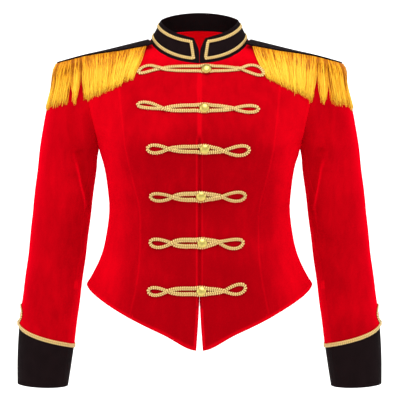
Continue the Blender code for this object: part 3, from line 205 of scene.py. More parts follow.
# Frogs, one cord each. Columns: height in the middle, out to the right end, right crossing, left
# crossing, left end, half heights of the right loop, the left loop and the middle lobe, button's
# place out from the middle, and by how much the lobe is narrower on the left.
FROGS = table(
    "up right right_cross left_cross left right_half left_half lobe button skew",
    (-0.0498, -0.0982, -0.0631, 0.0654, 0.1034, 0.0049, 0.0069, 0.0037, 0.0109, 0.0),
    (-0.1121, -0.0989, -0.058, 0.0537, 0.0943, 0.0044, 0.0052, 0.0041, 0.0075, 0.05),
    (-0.1775, -0.0827, -0.0493, 0.0387, 0.0792, 0.0061, 0.0074, 0.004, 0.0082, -0.05),
    (-0.2542, -0.0784, -0.0418, 0.0351, 0.0732, 0.006, 0.0074, 0.0047, 0.0027, 0.22),
    (-0.3296, -0.0793, -0.0445, 0.0295, 0.07, 0.0066, 0.0073, 0.0049, 0.0044, 0.2),
    (-0.407, -0.0822, -0.0513, 0.0398, 0.0736, 0.0061, 0.0077, 0.0043, 0.0027, 0.22),
)
# How far each frog's crossings, the middles of its loops and its ends are above its middle.
FROG_RIGHT = table(
    "cross middle tip",
    (-0.0003, 0.0, -0.0054),
    (-0.0016, 0.0033, 0.0048),
    (0.0009, 0.0004, 0.0008),
    (0.0, -0.0011, 0.0),
    (0.0, -0.0011, 0.0),
    (0.0, -0.0009, -0.0005),
)
FROG_LEFT = table(
    "cross middle tip",
    (-0.001, -0.0013, -0.0075),
    (-0.0012, -0.0019, -0.0019),
    (-0.0025, -0.0025, -0.0006),
    (0.0005, 0.0, 0.0012),
    (0.0022, -0.0017, 0.0003),
    (0.0004, 0.0022, 0.005),
)
FROG_SINK = 0.0002  # how far a frog is pressed into the velvet
FROG_SOFT = 12  # rings on either side over which its directions and widths are evened
FROG_DEPTH_SOFT = 9
LOBE_CORD = 1.4  # width of the cord in a lobe as a share of the lobe's half height
LOBE_STEPS = 60
LOOP_STEPS = 40
LOOP_FULL = 1.299  # makes a loop as high as its half height says
CORD_STEP = 0.00055  # between two rings of a cord
CORD_SIDES = 14
CORD_SLANT = 2.2  # how far the plait's strands run back from the middle to the edges
CORD_SQUARE = 0.8  # 1 makes an elliptical cord, less a squarer one
STRAND_WIDE = 0.44  # how much a strand stands out at the cord's edges, and above its face
STRAND_HIGH = 0.5
GROOVE_HALF = 0.3  # half width of the groove along the middle, as a share of the cord's
GROOVE_DEEP = 0.3
# how much darker the groove is painted, as painted shade
GROOVE_PAINTED_SHADE = 0.45
CROSS_REACH = 0.0075  # over which one strand rises to cross the other
CROSS_UNDER = -0.25  # how far the lower strand goes, as a share of the upper one's rise
CROSS_APART = 0.012  # along the cord, between two crossings
SELF_APART = 0.018  # along the cord, nearer than which it can't cross itself
BUTTON_REACH = 0.015  # from a button's middle, within which the cord goes round it
BUTTON_PUSH = 0.0015
BUTTON_HIGH = 0.59  # height of a button's dome as a share of its radius
BUTTON_CUT = 0.3  # depth at which the dome is cut off below, as a share of its radius
BUTTON_SEAT = 0.6  # share of the radius at which a button stands on the cloth
BUTTON_TURN = 11.0  # greatest angle that a button hangs askew
BUTTON_SIDES = 48
BUTTON_RINGS = 32
FROG_RISE = 0.0024  # how far the upper strand rises at a crossing
CUFF_RISE = 0.002

# Cords. Columns: width, thickness, length of one turn of the plait.
Cord = namedtuple("Cord", "wide thick pitch")
FROG_CORD = Cord(0.005, 0.0032, 0.0035)
CUFF_CORD = Cord(0.006, 0.0018, 0.0035)
COLLAR_CORD = Cord(0.0046, 0.0016, 0.0033)

# Collar. The columns are half width, depth in front and behind, height at the sides, how far it
# hangs in front and rises behind, and how suddenly it does.
Ring = namedtuple("Ring", "half front back side_up drop rise dip")
NECK = Ring(0.081, 0.064, 0.06, -0.0033, 0.0377, 0.015, 1.2)
COLLAR_TOP = Ring(0.065, 0.054, 0.055, 0.0285, 0.027, 0.0135, 1.4)
COLLAR_MEET = 0.48  # share of its height to which the collar's ends meet
COLLAR_NOTCH = 0.009  # half the space between them at the top
COLLAR_INSET = 0.0083  # from the collar's edges to the middle of its braid
COLLAR_STEPS = 120
COLLAR_SOFT = 14

# Cuff seam and the loop of braid above its point. Angles are in degrees.
CUFF_POINT_UP = -0.468
CUFF_INNER_DROP = 0.04  # how much lower the seam is on the inner side of the arm
CUFF_SLOPE = 1.4
CUFF_ROUND = 0.305
CUFF_CROSS = 14.0  # angle from the point at which the braid leaves the seam for its loop
CUFF_LOOP_HALF = 0.02625
CUFF_LOOP_TALL = 0.02958
CUFF_APART = 0.4  # angle between each end of the braid and the middle of the arm's inner side
CUFF_STEPS = 80
CUFF_SINK = 0.0001
CUFF_AWAY = 0.12  # from the sleeve's middle, farther out than any cloth
CUFF_SEAM = 144.0  # angle of the sleeve's front seam, which runs on down the cuff
SEAM_RIDGE = 0.0006
SEAM_RIDGE_HALF = 0.0011

# Shoulder strap and the fringe sewn to its edge. Columns of STRAP: out, height of the top along the
# middle, and how much lower the edges are.
STRAP = table(
    "out up drop",
    (0.075, 0.001, 0.008),
    (0.085, -0.0012, 0.009),
    (0.106, -0.0064, 0.0075),
    (0.131, -0.0128, 0.0058),
    (0.158, -0.0196, 0.0026),
    (0.19, -0.0268, 0.0008),
    (0.235, -0.0395, 0.0),
)
STRAP_HALF = 0.03
STRAP_BEGIN = 0.087
STRAP_STRAIGHT = STRAP[-1].out - STRAP_HALF - STRAP_BEGIN
STRAP_ARC = pi * STRAP_HALF
STRAP_EDGE = 0.0029  # height of the strap's edge above the fringe
STRAP_LIP = 0.001  # by which the strap is thicker at its edge
STRAP_LIP_WIDE = 0.005
FRINGE_BULGE = 0.004  # how far the threads at the tip stand out on their way down
THREAD_STEPS = 7
THREAD_LAYERS = 3
THREAD_OFF = 0.0007  # from the cloth to a thread's middle
THREAD_OUT = 0.0004  # the same from the strap's edge
LAYER_APART = 0.0009  # between two layers, and where they begin
LAYER_OUT = 0.0005
THREAD_ROOT = (-0.0004, 0.0003)  # by how much the threads' tops are uneven
THREAD_CURL = 0.002
THREAD_HALF = (0.00038, 0.0006)  # half width
THREAD_ASIDE = 0.0017
THREAD_LONG = (0.9, 1.04)  # length as a share of its lock's
LOCK_LENGTH = 0.0062  # of the strap's edge that one lock of threads takes
LOCK_PITCH = (0.6, 1.5)  # the same of a single lock, as a share of it
LOCK_LONG = (0.965, 1.02)
LOCK_GATHER = (0.0, 0.16)  # share by which a lock's tips are drawn together
LOCK_DRIFT = 0.0007
SHORT_SHARE = 0.08  # of the threads that are shorter, and how long they are
SHORT_LONG = (0.7, 1.06)
DARK_SHARE = 0.14  # of the threads painted dark all along as shade in the gaps between threads, and of those painted dark only at their tops as shadow
SHADOW_SHARE = 0.35
DARK_TONE = 0.45
THREAD_TONE = 0.62
# Groups of threads. Columns: where the group ends, out from the middle; lean outwards and fall of its
# first and its last threads; share by which its tips are drawn together.
GROUPS = table(
    "end lean_in lean_out fall_in fall_out drawn",
    (0.194, 0.021, -0.0075, 0.0515, 0.0712, 0.0),
    (0.206, 0.0018, 0.0022, 0.0736, 0.0736, 0.8),
    (0.229, 0.0076, 0.0066, 0.0725, 0.074, 0.05),
    (0.235, 0.009, 0.0, 0.074, 0.074, 0.1),
)
GROUP_POINT = 0.16  # by which the outer threads of a group drawn to a point are shorter
GROUP_EDGE = 0.0042  # of the strap's edge beside a gap, where the threads are painted darker as shade in the gap
GROUP_PAINTED_SHADE = 0.42
# Thin partings within a group. Columns: place out from the middle, how far its threads are pushed
# aside at the tips, and reach along the edge.
PARTINGS = table(
    "out push reach",
    (0.138, 0.0008, 0.004),
    (0.164, 0.0009, 0.004),
    (0.214, 0.001, 0.004),
    (0.221, 0.0009, 0.0035),
)

# Camera at the photo's place
CAMERA_AWAY = 3.6
CAMERA_TILT = 4.246
CAMERA_LENS = 196.4
CAMERA_OUT = 0.0008

# Floor with a back that curves up, and the lights
FLOOR_UP = -0.9
FLOOR_HALF = 8.0
FLOOR_NEAR = -6.0
FLOOR_FAR = 3.0  # where it starts to curve
FLOOR_ROUND = 1.5
FLOOR_TOP = 5.0
FLOOR_GLOW = 0.2
WORLD_GLOW = 1.1
LIGHT_AIM = (0.0, 0.0, -0.28)
LIGHTS = table(
    "name place size power",
    ("key", (0.0, -1.7, 2.6), 2.0, 135.0),
    ("left", (2.6, -0.9, 0.3), 1.6, 22.0),
    ("right", (-2.6, -0.9, 0.3), 1.6, 22.0),
)
WHITE = (1.0, 1.0, 1.0, 1.0)


def colour_choice(name, description, default):
    """A colour among the settings."""
    return FloatVectorProperty(
        name=name, description=description, subtype="COLOR", size=3, min=0.0, max=1.0, default=default
    )


class JacketSettings(PropertyGroup):
    """Sizes and colours of the jacket that a user would change."""

    velvet: colour_choice("Velvet", "Colour of the velvet", (0.17, 0.0002, 0.0016))
    cloth: colour_choice("Black cloth", "Colour of the collar, cuffs and straps", (0.0036, 0.0018, 0.002))
    cord: colour_choice("Cord", "Colour of the gold cord and braid", (0.45, 0.288, 0.074))
    thread: colour_choice("Fringe", "Lightest colour of the fringe", (0.68, 0.315, 0.008))
    button: colour_choice("Buttons", "Colour of the buttons", (0.43, 0.345, 0.09))
    creases: FloatProperty(
        name="Creases", description="Depth of the creases as a share of the usual depth",
        subtype="FACTOR", min=0.0, max=1.5, default=1.0,
    )
    nap: FloatProperty(
        name="Nap", description="Length of the velvet's nap",
        unit="LENGTH", min=0.0, max=0.002, default=0.0005,
    )
    threads: IntProperty(
        name="Threads", description="Threads in a layer of one lock of the fringe",
        min=2, max=16, default=9,
    )
    button_radius: FloatProperty(
        name="Button radius", description="Radius of a button",
        unit="LENGTH", min=0.005, max=0.012, default=0.0085,
    )


def settings():
    """The jacket's sizes and colours."""
    return bpy.context.scene.jacket_settings


def ease(share):
    """A smooth rise from 0 to 1, for a number or an array."""
    held = np.clip(share, 0.0, 1.0)
    return held * held * (3.0 - 2.0 * held)


def mirrored(point, side):
    """The point on the left side, or its mirror image on the right."""
    return Vector((point[0] * side, point[1], point[2]))


def steps(start, end, count):
    """Evenly spaced values, both ends among them."""
    return [start + (end - start) * i / count for i in range(count + 1)]


def put(title, data, place=(0.0, 0.0, 0.0), turn=(0.0, 0.0, 0.0)):
    """An object of the scene at its place."""
    made = bpy.data.objects.new(title, data)
    made.location = place
    made.rotation_euler = turn
    bpy.context.scene.collection.objects.link(made)
    return made


def new_piece(title, mesh, slot, nodes):
    """A piece of the jacket that stands for some of its solids."""
    made = put(title, mesh)
    mesh.materials.clear()
    mesh.materials.append(material(slot))
    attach(made, "root")
    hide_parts(*nodes)
    return made


def new_material(name, colour, roughness, metallic=0.0):
    """A Principled material, its node tree and its shader."""
    made = bpy.data.materials.new("jacket_" + name)
    made.use_nodes = True
    shader = made.node_tree.nodes["Principled BSDF"]
    shader.inputs["Base Color"].default_value = (*colour, 1.0)
    shader.inputs["Roughness"].default_value = roughness
    shader.inputs["Metallic"].default_value = metallic
    return made, made.node_tree, shader


def add_node(tree, kind, **values):
    """A node with its settings and input values."""
    made = tree.nodes.new(kind)
    for key, value in values.items():
        if hasattr(made, key):
            setattr(made, key, value)
        else:
            made.inputs[key.replace("_", " ")].default_value = value
    return made


def noise(tree, place, scale, detail=2.0, stretch=(1.0, 1.0, 1.0)):
    """Noise between 0 and 1 at a scale."""
    mapping = add_node(tree, "ShaderNodeMapping")
    mapping.inputs["Scale"].default_value = [scale * part for part in stretch]
    tree.links.new(place, mapping.inputs["Vector"])
    made = add_node(tree, "ShaderNodeTexNoise", Scale=1.0, Detail=detail)
    tree.links.new(mapping.outputs["Vector"], made.inputs["Vector"])
    return made.outputs["Fac"]


def ramp(tree, value, *stops):
    """A colour ramp; the stops are place and colour."""
    made = tree.nodes.new("ShaderNodeValToRGB")
    band = made.color_ramp
    while len(band.elements) < len(stops):
        band.elements.new(0.5)
    for element, (place, colour) in zip(band.elements, stops):
        element.position = place
        element.color = (*colour, 1.0)
    tree.links.new(value, made.inputs["Fac"])
    return made.outputs["Color"]


def attribute(tree, name):
    """The value of an attribute of the mesh."""
    return add_node(tree, "ShaderNodeAttribute", attribute_name=name).outputs["Fac"]


def mixed(tree, kind, one, two):
    """Two values joined by a Math node."""
    made = add_node(tree, "ShaderNodeMath", operation=kind)
    for socket, value in zip(made.inputs, (one, two)):
        if isinstance(value, (int, float)):
            socket.default_value = value
        else:
            tree.links.new(value, socket)
    return made.outputs["Value"]


def blend(tree, *parts):
    """The sum of some values, each times its weight."""
    terms = [mixed(tree, "MULTIPLY", value, weight) for value, weight in parts]
    total = terms[0]
    for term in terms[1:]:
        total = mixed(tree, "ADD", total, term)
    return total


def shade(colour, share):
    """A colour made darker or lighter, by one share or by one for each of its parts."""
    shares = share if isinstance(share, tuple) else (share,) * 3
    return tuple(min(1.0, part * own) for part, own in zip(colour, shares))


def paint_velvet(tree, place, base):
    """Deep red velvet, brushed, with painted highlights and shade on its outer side, partly for crushed nap,
    and much lighter on its inner side, partly a paler lining and partly painted light in the shade inside.
    """
    fine = noise(tree, place, 1500.0, 1.0)
    tone = blend(
        tree,
        (noise(tree, place, 14.0, 1.0), 0.45),
        (noise(tree, place, 90.0, 2.0, (1.0, 1.0, 0.35)), 0.3),
        (fine, 0.25),
        (attribute(tree, "worn"), 0.42),
    )
    colour = ramp(tree, tone, (0.28, shade(base, 0.78)), (0.52, base), (0.95, shade(base, 2.0)))
    # Painted light: the inner side is five times lighter, partly a paler lining, mostly standing in for
    # light reaching the shaded inside.
    inner = add_node(tree, "ShaderNodeMix", data_type="RGBA")
    tree.links.new(attribute(tree, "inner"), inner.inputs["Factor"])
    tree.links.new(colour, inner.inputs["A"])
    inner.inputs["B"].default_value = (*shade(base, 5.0), 1.0)
    return inner.outputs["Result"], fine


def paint_black(tree, place, base):
    """Black woven cloth, matt."""
    heights = []
    for direction in ("X", "Z"):
        wave = add_node(
            tree, "ShaderNodeTexWave", wave_type="BANDS", bands_direction=direction,
            Scale=420.0, Distortion=0.6, Detail=1.0,
        )
        tree.links.new(place, wave.inputs["Vector"])
        heights.append(wave.outputs["Fac"])
    weave = mixed(tree, "MAXIMUM", *heights)
    tone = blend(tree, (weave, 0.5), (noise(tree, place, 60.0, 3.0), 0.5))
    return ramp(tree, tone, (0.25, shade(base, 0.6)), (0.75, shade(base, 1.7))), weave


def paint_cord(tree, place, base):
    """Gold plaited cord, with painted shade between its strands, along its middle groove and underneath, and
    painted highlights on the strands' crests.
    """
    speck = noise(tree, place, 760.0, 2.0)
    tone = blend(tree, (attribute(tree, "strand"), 0.78), (speck, 0.4))
    # The lightest stop is a painted highlight on the strands' crests, the darkest painted shade between
    # them.
    dark, light = shade(base, (0.2, 0.15, 0.08)), shade(base, (1.5, 1.7, 2.6))
    return ramp(tree, tone, (0.22, dark), (0.6, base), (0.98, light)), speck


def paint_thread(tree, place, base):
    """Lustrous gold thread, from orange brown to yellow."""
    fine = noise(tree, place, 700.0, 1.0, (1.0, 1.0, 0.15))
    tone = blend(tree, (attribute(tree, "tone"), 1.0), (fine, 0.18))
    dark, middle = shade(base, (0.42, 0.24, 0.0)), shade(base, (0.9, 0.8, 0.5))
    light = shade(base, (1.0, 1.25, 3.0))
    return ramp(tree, tone, (0.08, dark), (0.42, middle), (0.95, light)), fine


def paint_brass(tree, place, base):
    """Polished brass, a little worn and duller where it is."""
    # Here this noise is only wear of the brass: duller, and a little darker or lighter in patches.
    worn = noise(tree, place, 260.0, 3.0)
    rough = add_node(tree, "ShaderNodeMapRange", To_Min=0.32, To_Max=0.44)
    tree.links.new(worn, rough.inputs["Value"])
    tree.links.new(rough.outputs["Result"], tree.nodes["Principled BSDF"].inputs["Roughness"])
    return ramp(tree, worn, (0.3, shade(base, 0.78)), (0.7, shade(base, 1.1))), worn


# Materials by slot. Columns: name, the setting that holds its colour, roughness, how metallic it is,
# shine, sheen of its nap with roughness and tint, height and strength of its relief, and the
# function that gives its colour and relief. Where no height is named it is the nap's.
Finish = namedtuple("Finish", "name setting rough metal shine sheen sheen_rough tint high relief paint")
FINISHES = {
    "red_velvet": Finish(
        "velvet", "velvet", 0.8, 0.0, 0.0, 1.0, 0.58, (1.0, 0.0, 0.012), None, 0.35, paint_velvet
    ),
    "black_cloth": Finish(
        "black_cloth", "cloth", 0.85, 0.0, 0.02, 0.006, 0.5, (0.55, 0.5, 0.52), 0.0003, 0.5, paint_black
    ),
    "gold_braid": Finish(
        "gold_cord", "cord", 0.42, 0.15, 0.45, 0.1, 0.5, (1.0, 0.86, 0.55), 0.0004, 0.5, paint_cord
    ),
    "gold_fringe": Finish(
        "gold_thread", "thread", 0.45, 0.0, 0.12, 0.15, 0.4, (1.0, 0.55, 0.05), 0.0003, 0.4, paint_thread
    ),
    "brass": Finish("brass", "button", 0.3, 1.0, 0.5, 0.0, 0.5, (1.0, 1.0, 1.0), 0.0002, 0.15, paint_brass),
}


def material(slot):
    """The material of a slot, made when it is first asked for."""
    finish = FINISHES[slot]
    made = bpy.data.materials.get("jacket_" + finish.name)
    if made is None:
        base = tuple(getattr(settings(), finish.setting))
        made, tree, shader = new_material(finish.name, base, finish.rough, finish.metal)
        shader.inputs["Specular IOR Level"].default_value = finish.shine
        shader.inputs["Sheen Weight"].default_value = finish.sheen
        shader.inputs["Sheen Roughness"].default_value = finish.sheen_rough
        shader.inputs["Sheen Tint"].default_value = (*finish.tint, 1.0)
        place = add_node(tree, "ShaderNodeTexCoord").outputs["Object"]
        colour, height = finish.paint(tree, place, base)
        tree.links.new(colour, shader.inputs["Base Color"])
        high = settings().nap if finish.high is None else finish.high
        relief = add_node(tree, "ShaderNodeBump", Strength=finish.relief, Distance=high)
        tree.links.new(height, relief.inputs["Height"])
        tree.links.new(relief.outputs["Normal"], shader.inputs["Normal"])
    return made


def welded(node):
    """A solid's mesh again, its triangles joined to quads and its hard edges marked."""
    source = NODES[node].data
    build = bmesh.new()
    corners = [build.verts.new(vertex.co) for vertex in source.vertices]
    for face in source.polygons:
        build.faces.new([corners[i] for i in face.vertices])
    bmesh.ops.remove_doubles(build, verts=build.verts, dist=WELD)
    bmesh.ops.recalc_face_normals(build, faces=build.faces)
    bmesh.ops.join_triangles(
        build, faces=build.faces, angle_face_threshold=radians(40.0), angle_shape_threshold=pi
    )
    crease = build.edges.layers.float.new("crease_edge")
    for edge in build.edges:
        if edge.calc_face_angle(0.0) > SHARP:
            edge[crease] = 1.0
    mesh = bpy.data.meshes.new(node + "_cloth")
    build.to_mesh(mesh)
    build.free()
    return mesh


def read(mesh, name="co"):
    """The mesh's points, or another of their values with three parts, as an array."""
    values = np.empty(len(mesh.vertices) * 3, np.float32)
    mesh.vertices.foreach_get(name, values)
    return values.reshape(-1, 3).astype(float)


def unit(vectors):
    """The vectors with their lengths made 1."""
    return vectors / np.linalg.norm(vectors, axis=1)[:, None]


def between(rows, at, *names):
    """Values of a table's columns at a value of its first column."""
    first = [row[0] for row in rows]
    return [np.interp(at, first, [getattr(row, name) for row in rows]) for name in names]


def set_points(mesh, points):
    """Put the mesh's points where an array says."""
    mesh.vertices.foreach_set("co", np.ascontiguousarray(points, np.float32).ravel())
    mesh.update()


def keep_values(mesh, name, values):
    """Store a value for each point of the mesh."""
    made = mesh.attributes.new(name, "FLOAT", "POINT")
    made.data.foreach_set("value", np.ascontiguousarray(values, np.float32))


def rim_distance(mesh):
    """Distance of each point from the nearest edge of the cloth, and that edge's nearest point."""
    build = bmesh.new()
    build.from_mesh(mesh)
    rim = []
    for edge in build.edges:
        if edge.calc_face_angle(0.0) > SHARP:
            rim.append(edge.verts[0].co.copy())
            rim.append((edge.verts[0].co + edge.verts[1].co) / 2)
    build.free()
    tree = KDTree(len(rim))
    for i, point in enumerate(rim):
        tree.insert(point, i)
    tree.balance()
    found = [tree.find(vertex.co) for vertex in mesh.vertices]
    near = np.array([spot[0][:] for spot in found])
    away = np.array([spot[2] for spot in found])
    return away, near


def raised(one_u, one_v, two_u, two_v, wide_1, wide_2, high, bow, u, v):
    """Height of one crease at places given by two lengths."""
    du, dv = two_u - one_u, two_v - one_v
    long = sqrt(du * du + dv * dv)
    run = ((u - one_u) * du + (v - one_v) * dv) / (long * long)
    held = np.clip(run, 0.0, 1.0)
    beside = ((u - one_u) * dv - (v - one_v) * du) / long - bow * 4.0 * held * (1.0 - held)
    beyond = (run - held) * long
    half = wide_1 + (wide_2 - wide_1) * held
    off = (beside * beside + beyond * beyond) / (half * half)
    ridge = np.where(off < 1.0, (1.0 - np.minimum(off, 1.0)) ** 2, 0.0)
    return high * ridge * np.sqrt(np.sqrt(np.clip(4.0 * held * (1.0 - held), 0.0, 1.0)) + 0.02)


def body_creases(points):
    """How far the body's cloth stands out, and the way it does, at each point."""
    out, back, up = points.T
    front = ease((0.012 - back) / 0.024)
    high = np.zeros(len(points))
    for creases, share in ((FRONT_CREASES, front), (BACK_CREASES, 1.0 - front)):
        for crease in creases:
            high += share * raised(*crease, out, up)
    slow = np.sin(out * 61.0 + up * 23.0 + 0.7) * np.sin(up * 47.0 - out * 19.0)
    high += SLOW_BODY * slow
    way = np.stack([out / BODY_HALF**2, back / BODY_DEEP**2, np.zeros(len(points))], 1)
    return high, unit(way)


def round_sleeve(points, side):
    """The angle of each point round its sleeve, and the way out of the sleeve there."""
    out, back, up = points.T
    middle_out, middle_back = between(SLEEVE_MIDDLE, up, "out", "back")
    aside = out * side - middle_out
    ahead = middle_back - back
    angle = np.degrees(np.arctan2(ahead, aside)) % 360.0
    way = np.stack([aside * side, -ahead, np.zeros(len(points))], 1)
    way /= np.maximum(np.linalg.norm(way, axis=1), 1e-6)[:, None]
    return angle, way


def sleeve_creases(points, side):
    """How far a sleeve's cloth stands out, and the way it does, at each point."""
    up = points[:, 2]
    angle, way = round_sleeve(points, side)
    high = np.zeros(len(points))
    turn = radians(1.0) * SLEEVE_ROUND
    for fold in SLEEVE_FOLDS[side]:
        ends = fold.angle_1 * turn, fold.up_1, fold.angle_2 * turn, fold.up_2
        high += raised(*ends, fold.wide_1, fold.wide_2, fold.high, fold.bow, angle * turn, up)
    high *= ease((SLEEVE_TOP - up) / 0.03) * ease((up - SLEEVE_LOW) / 0.03)
    slow = np.sin(angle / 27.0 + up * 31.0) * np.sin(up * 58.0 + angle / 50.0)
    high += SLOW_SLEEVE * slow * ease((-0.1 - up) / 0.05)
    return high, way


def hem_height(out, back):
    """Height of the jacket's hem at each point."""
    front, behind = between(HEMS, np.abs(out), "front", "back")
    return np.where(back < 0.0, front, behind)


def tree_of(names):
    """The faces of some solids or finished pieces."""
    points = []
    faces = []
    for name in names:
        mesh = (NODES[name] if name in NODES else bpy.data.objects[name]).data
        base = len(points)
        kept = mesh.attributes.get("laid_on")
        if kept is None:
            points += [vertex.co.copy() for vertex in mesh.vertices]
        else:
            points += [Vector(spot.vector) for spot in kept.data]
        faces += [[base + i for i in face.vertices] for face in mesh.polygons]
    return BVHTree.FromPolygons(points, faces)


def cloth_nodes(*starts):
    """The solids whose names start so."""
    return [node for node in NODES if node.startswith(starts)]


def close_to(points, tree, reach):
    """Whether each point is within reach of the faces."""
    return np.array([tree.find_nearest(Vector(point), reach)[0] is not None for point in points])


def drawn_together(points, away, node):
    """The points with half of the space to the next pieces closed."""
    pieces = cloth_nodes("front", "side", "back", "upper", "under", "collar", "cuff")
    tree = tree_of([found for found in pieces if found != node and "braid" not in found])
    moved = points.copy()
    for i in np.flatnonzero(away < SEAM_HELD):
        hit, _, _, gap = tree.find_nearest(Vector(points[i]), SEAM_SHUT)
        if hit is not None:
            share = ease((SEAM_HELD - away[i]) / 0.0008) * ease((SEAM_SHUT - gap) / 0.0003)
            moved[i] += (np.array(hit) - points[i]) * 0.5 * share
    return moved


def turned_edges(points, away, near, way, at_arm):
    """Cloth turned down to its seams and rolled at its hem, and the light and shade painted there: painted
    highlights along seams, armholes, the hem and the rolled edges of the fronts' opening, partly for nap
    crushed there, and painted shade in the valley where the fronts meet.
    """
    out, back, up = near.T
    at_hem = (np.abs(up - hem_height(out, back)) < HEM_NEAR) & (up < HEM_TOP)
    centre = (np.abs(out) < CENTRE_HALF) & (back < 0.0) & ~at_hem
    open_front = centre & (up <= CENTRE_OPEN)
    in_middle = centre & ~open_front & (np.abs(out) < CENTRE_MEET)
    free = at_hem | open_front
    low = ease((CENTRE_PART - up) / 0.02)
    reach = np.where(in_middle, CENTRE_REACH, SEAM_REACH)
    close = np.clip(1.0 - away / reach, 0.0, 1.0)
    deep = np.where(in_middle, CENTRE_DEEP * (0.15 + 0.85 * low), np.where(at_arm, ARM_DEEP, SEAM_DEEP))
    high = np.where(free, 0.0, -deep * close * close)
    roll = np.sin(np.clip(away / HEM_REACH, 0.0, 1.0) * pi)
    high += np.where(free, HEM_HIGH * roll, 0.0)
    # Painted highlights on the velvet along seams, armholes, the rolled hem and the parted fronts, partly
    # standing for nap crushed there.
    seam = SEAM_PAINTED_LIGHT * ease((0.0022 - away) / 0.0012)
    worn = np.where(free, ease((HEM_REACH - away) / 0.002), seam)
    worn = np.where(at_arm, ARM_PAINTED_LIGHT * ease((0.0085 - away) / 0.006), worn)
    # Where the fronts meet: painted highlights on their rolled edges and painted shade in the valley between
    # them.
    shoulder = np.where(out >= points[:, 0], 0.9, 0.5) * ease(1.0 - np.abs(away - 0.0042) / 0.0022)
    valley = shoulder - 0.9 * ease((0.003 - away) / 0.0014)
    worn = np.where(in_middle, valley * low + 0.8 * ease((0.0048 - away) / 0.003) * (1.0 - low), worn)
    return points + way * high[:, None], worn


def soft_copy(title, node, slot, levels):
    """A fine rounded copy of a solid as a piece of cloth."""
    made = new_piece(title, welded(node), slot, [node])
    modifier = made.modifiers.new("round", "SUBSURF")
    modifier.levels = levels
    modifier.render_levels = levels
    bpy.ops.object.select_all(action="DESELECT")
    made.select_set(True)
    bpy.context.view_layer.objects.active = made
    bpy.ops.object.modifier_apply(modifier=modifier.name)
    made.data.shade_smooth()
    made.data.set_sharp_from_angle(angle=SHARP)
    return made


def lay_off(mesh):
    """Keep the points as they are now, as the face that other pieces are laid on."""
    kept = mesh.attributes.new("laid_on", "FLOAT_VECTOR", "POINT")
    kept.data.foreach_set("vector", read(mesh).astype(np.float32).ravel())


def node_of(cut, name):
    """The solid of a cut on one side, or in the middle where no side is named."""
    return cut.piece + "_" + name if name else cut.piece


def painted_side_and_top_light(points):
    """Painted light: how much lighter the velvet is painted towards the body's sides, standing in for sheen
    where it turns away, and towards its shoulders and upper chest, standing in for light from above.
    """
    out = np.abs(points[:, 0])
    up = points[:, 2]
    sides = 0.9 * ease((out - 0.105) / 0.045)
    sides *= 1.0 - 0.55 * ease((up + 0.2) / 0.06) - 0.5 * ease((-0.38 - up) / 0.06)
    return sides + 0.45 * ease((up + 0.195) / 0.06) + 0.8 * ease((up + 0.06) / 0.04)


def velvet_piece(cut, name, side, sleeve=False):
    """A velvet panel with its creases, seams and hem."""
    node = node_of(cut, name)
    made = soft_copy("velvet_" + node, node, cut.finish, FINE)
    mesh = made.data
    points = read(mesh)
    away, near = rim_distance(mesh)
    high, way = sleeve_creases(points, side) if sleeve else body_creases(points)
    inner = (read(mesh, "normal") * way).sum(axis=1) < -0.2
    at_arm = np.zeros(len(points), bool)
    if not sleeve:
        at_arm = close_to(near, tree_of(cloth_nodes("upper", "under")), ARM_NEAR)
    points = drawn_together(points, away, node) + way * (high * settings().creases)[:, None]
    set_points(mesh, points)
    lay_off(mesh)
    points, worn = turned_edges(points, away, near, way, at_arm)
    set_points(mesh, points)
    if sleeve:
        # Painted light and shade: lighter where the sleeve faces front or back, darker where it faces
        # sideways.
        facing = np.abs(read(mesh, "normal")[:, 1])
        worn = worn + 0.4 * facing - 0.5 * (1.0 - facing) ** 2
    else:
        # Painted light: lighter towards the body's sides, shoulders and upper chest.
        worn = worn + painted_side_and_top_light(points)
    keep_values(mesh, "worn", np.where(inner, 0.0, worn))
    keep_values(mesh, "inner", inner)


def black_piece(cut, name):
    """A piece of black cloth, drawn to the pieces next to it."""
    node = node_of(cut, name)
    made = soft_copy("cloth_" + node, node, cut.finish, FINE)
    mesh = made.data
    points = drawn_together(read(mesh), rim_distance(mesh)[0], node)
    if cut is CUFF_CUT:
        angle, way = round_sleeve(points, dict(SIDES)[name])
        beside = (angle - CUFF_SEAM) * radians(1.0) * SLEEVE_ROUND
        ridge = SEAM_RIDGE * np.exp(-(beside / SEAM_RIDGE_HALF) ** 2)
        points = points + way * ridge[:, None]
    set_points(mesh, points)


def thickened(mesh):
    """Make a strap thicker along its edge, downwards."""
    points = read(mesh)
    low = ease(1.0 - rim_distance(mesh)[0] / STRAP_LIP_WIDE) * (read(mesh, "normal")[:, 2] < -0.3)
    points[:, 2] -= STRAP_LIP * low
    set_points(mesh, points)


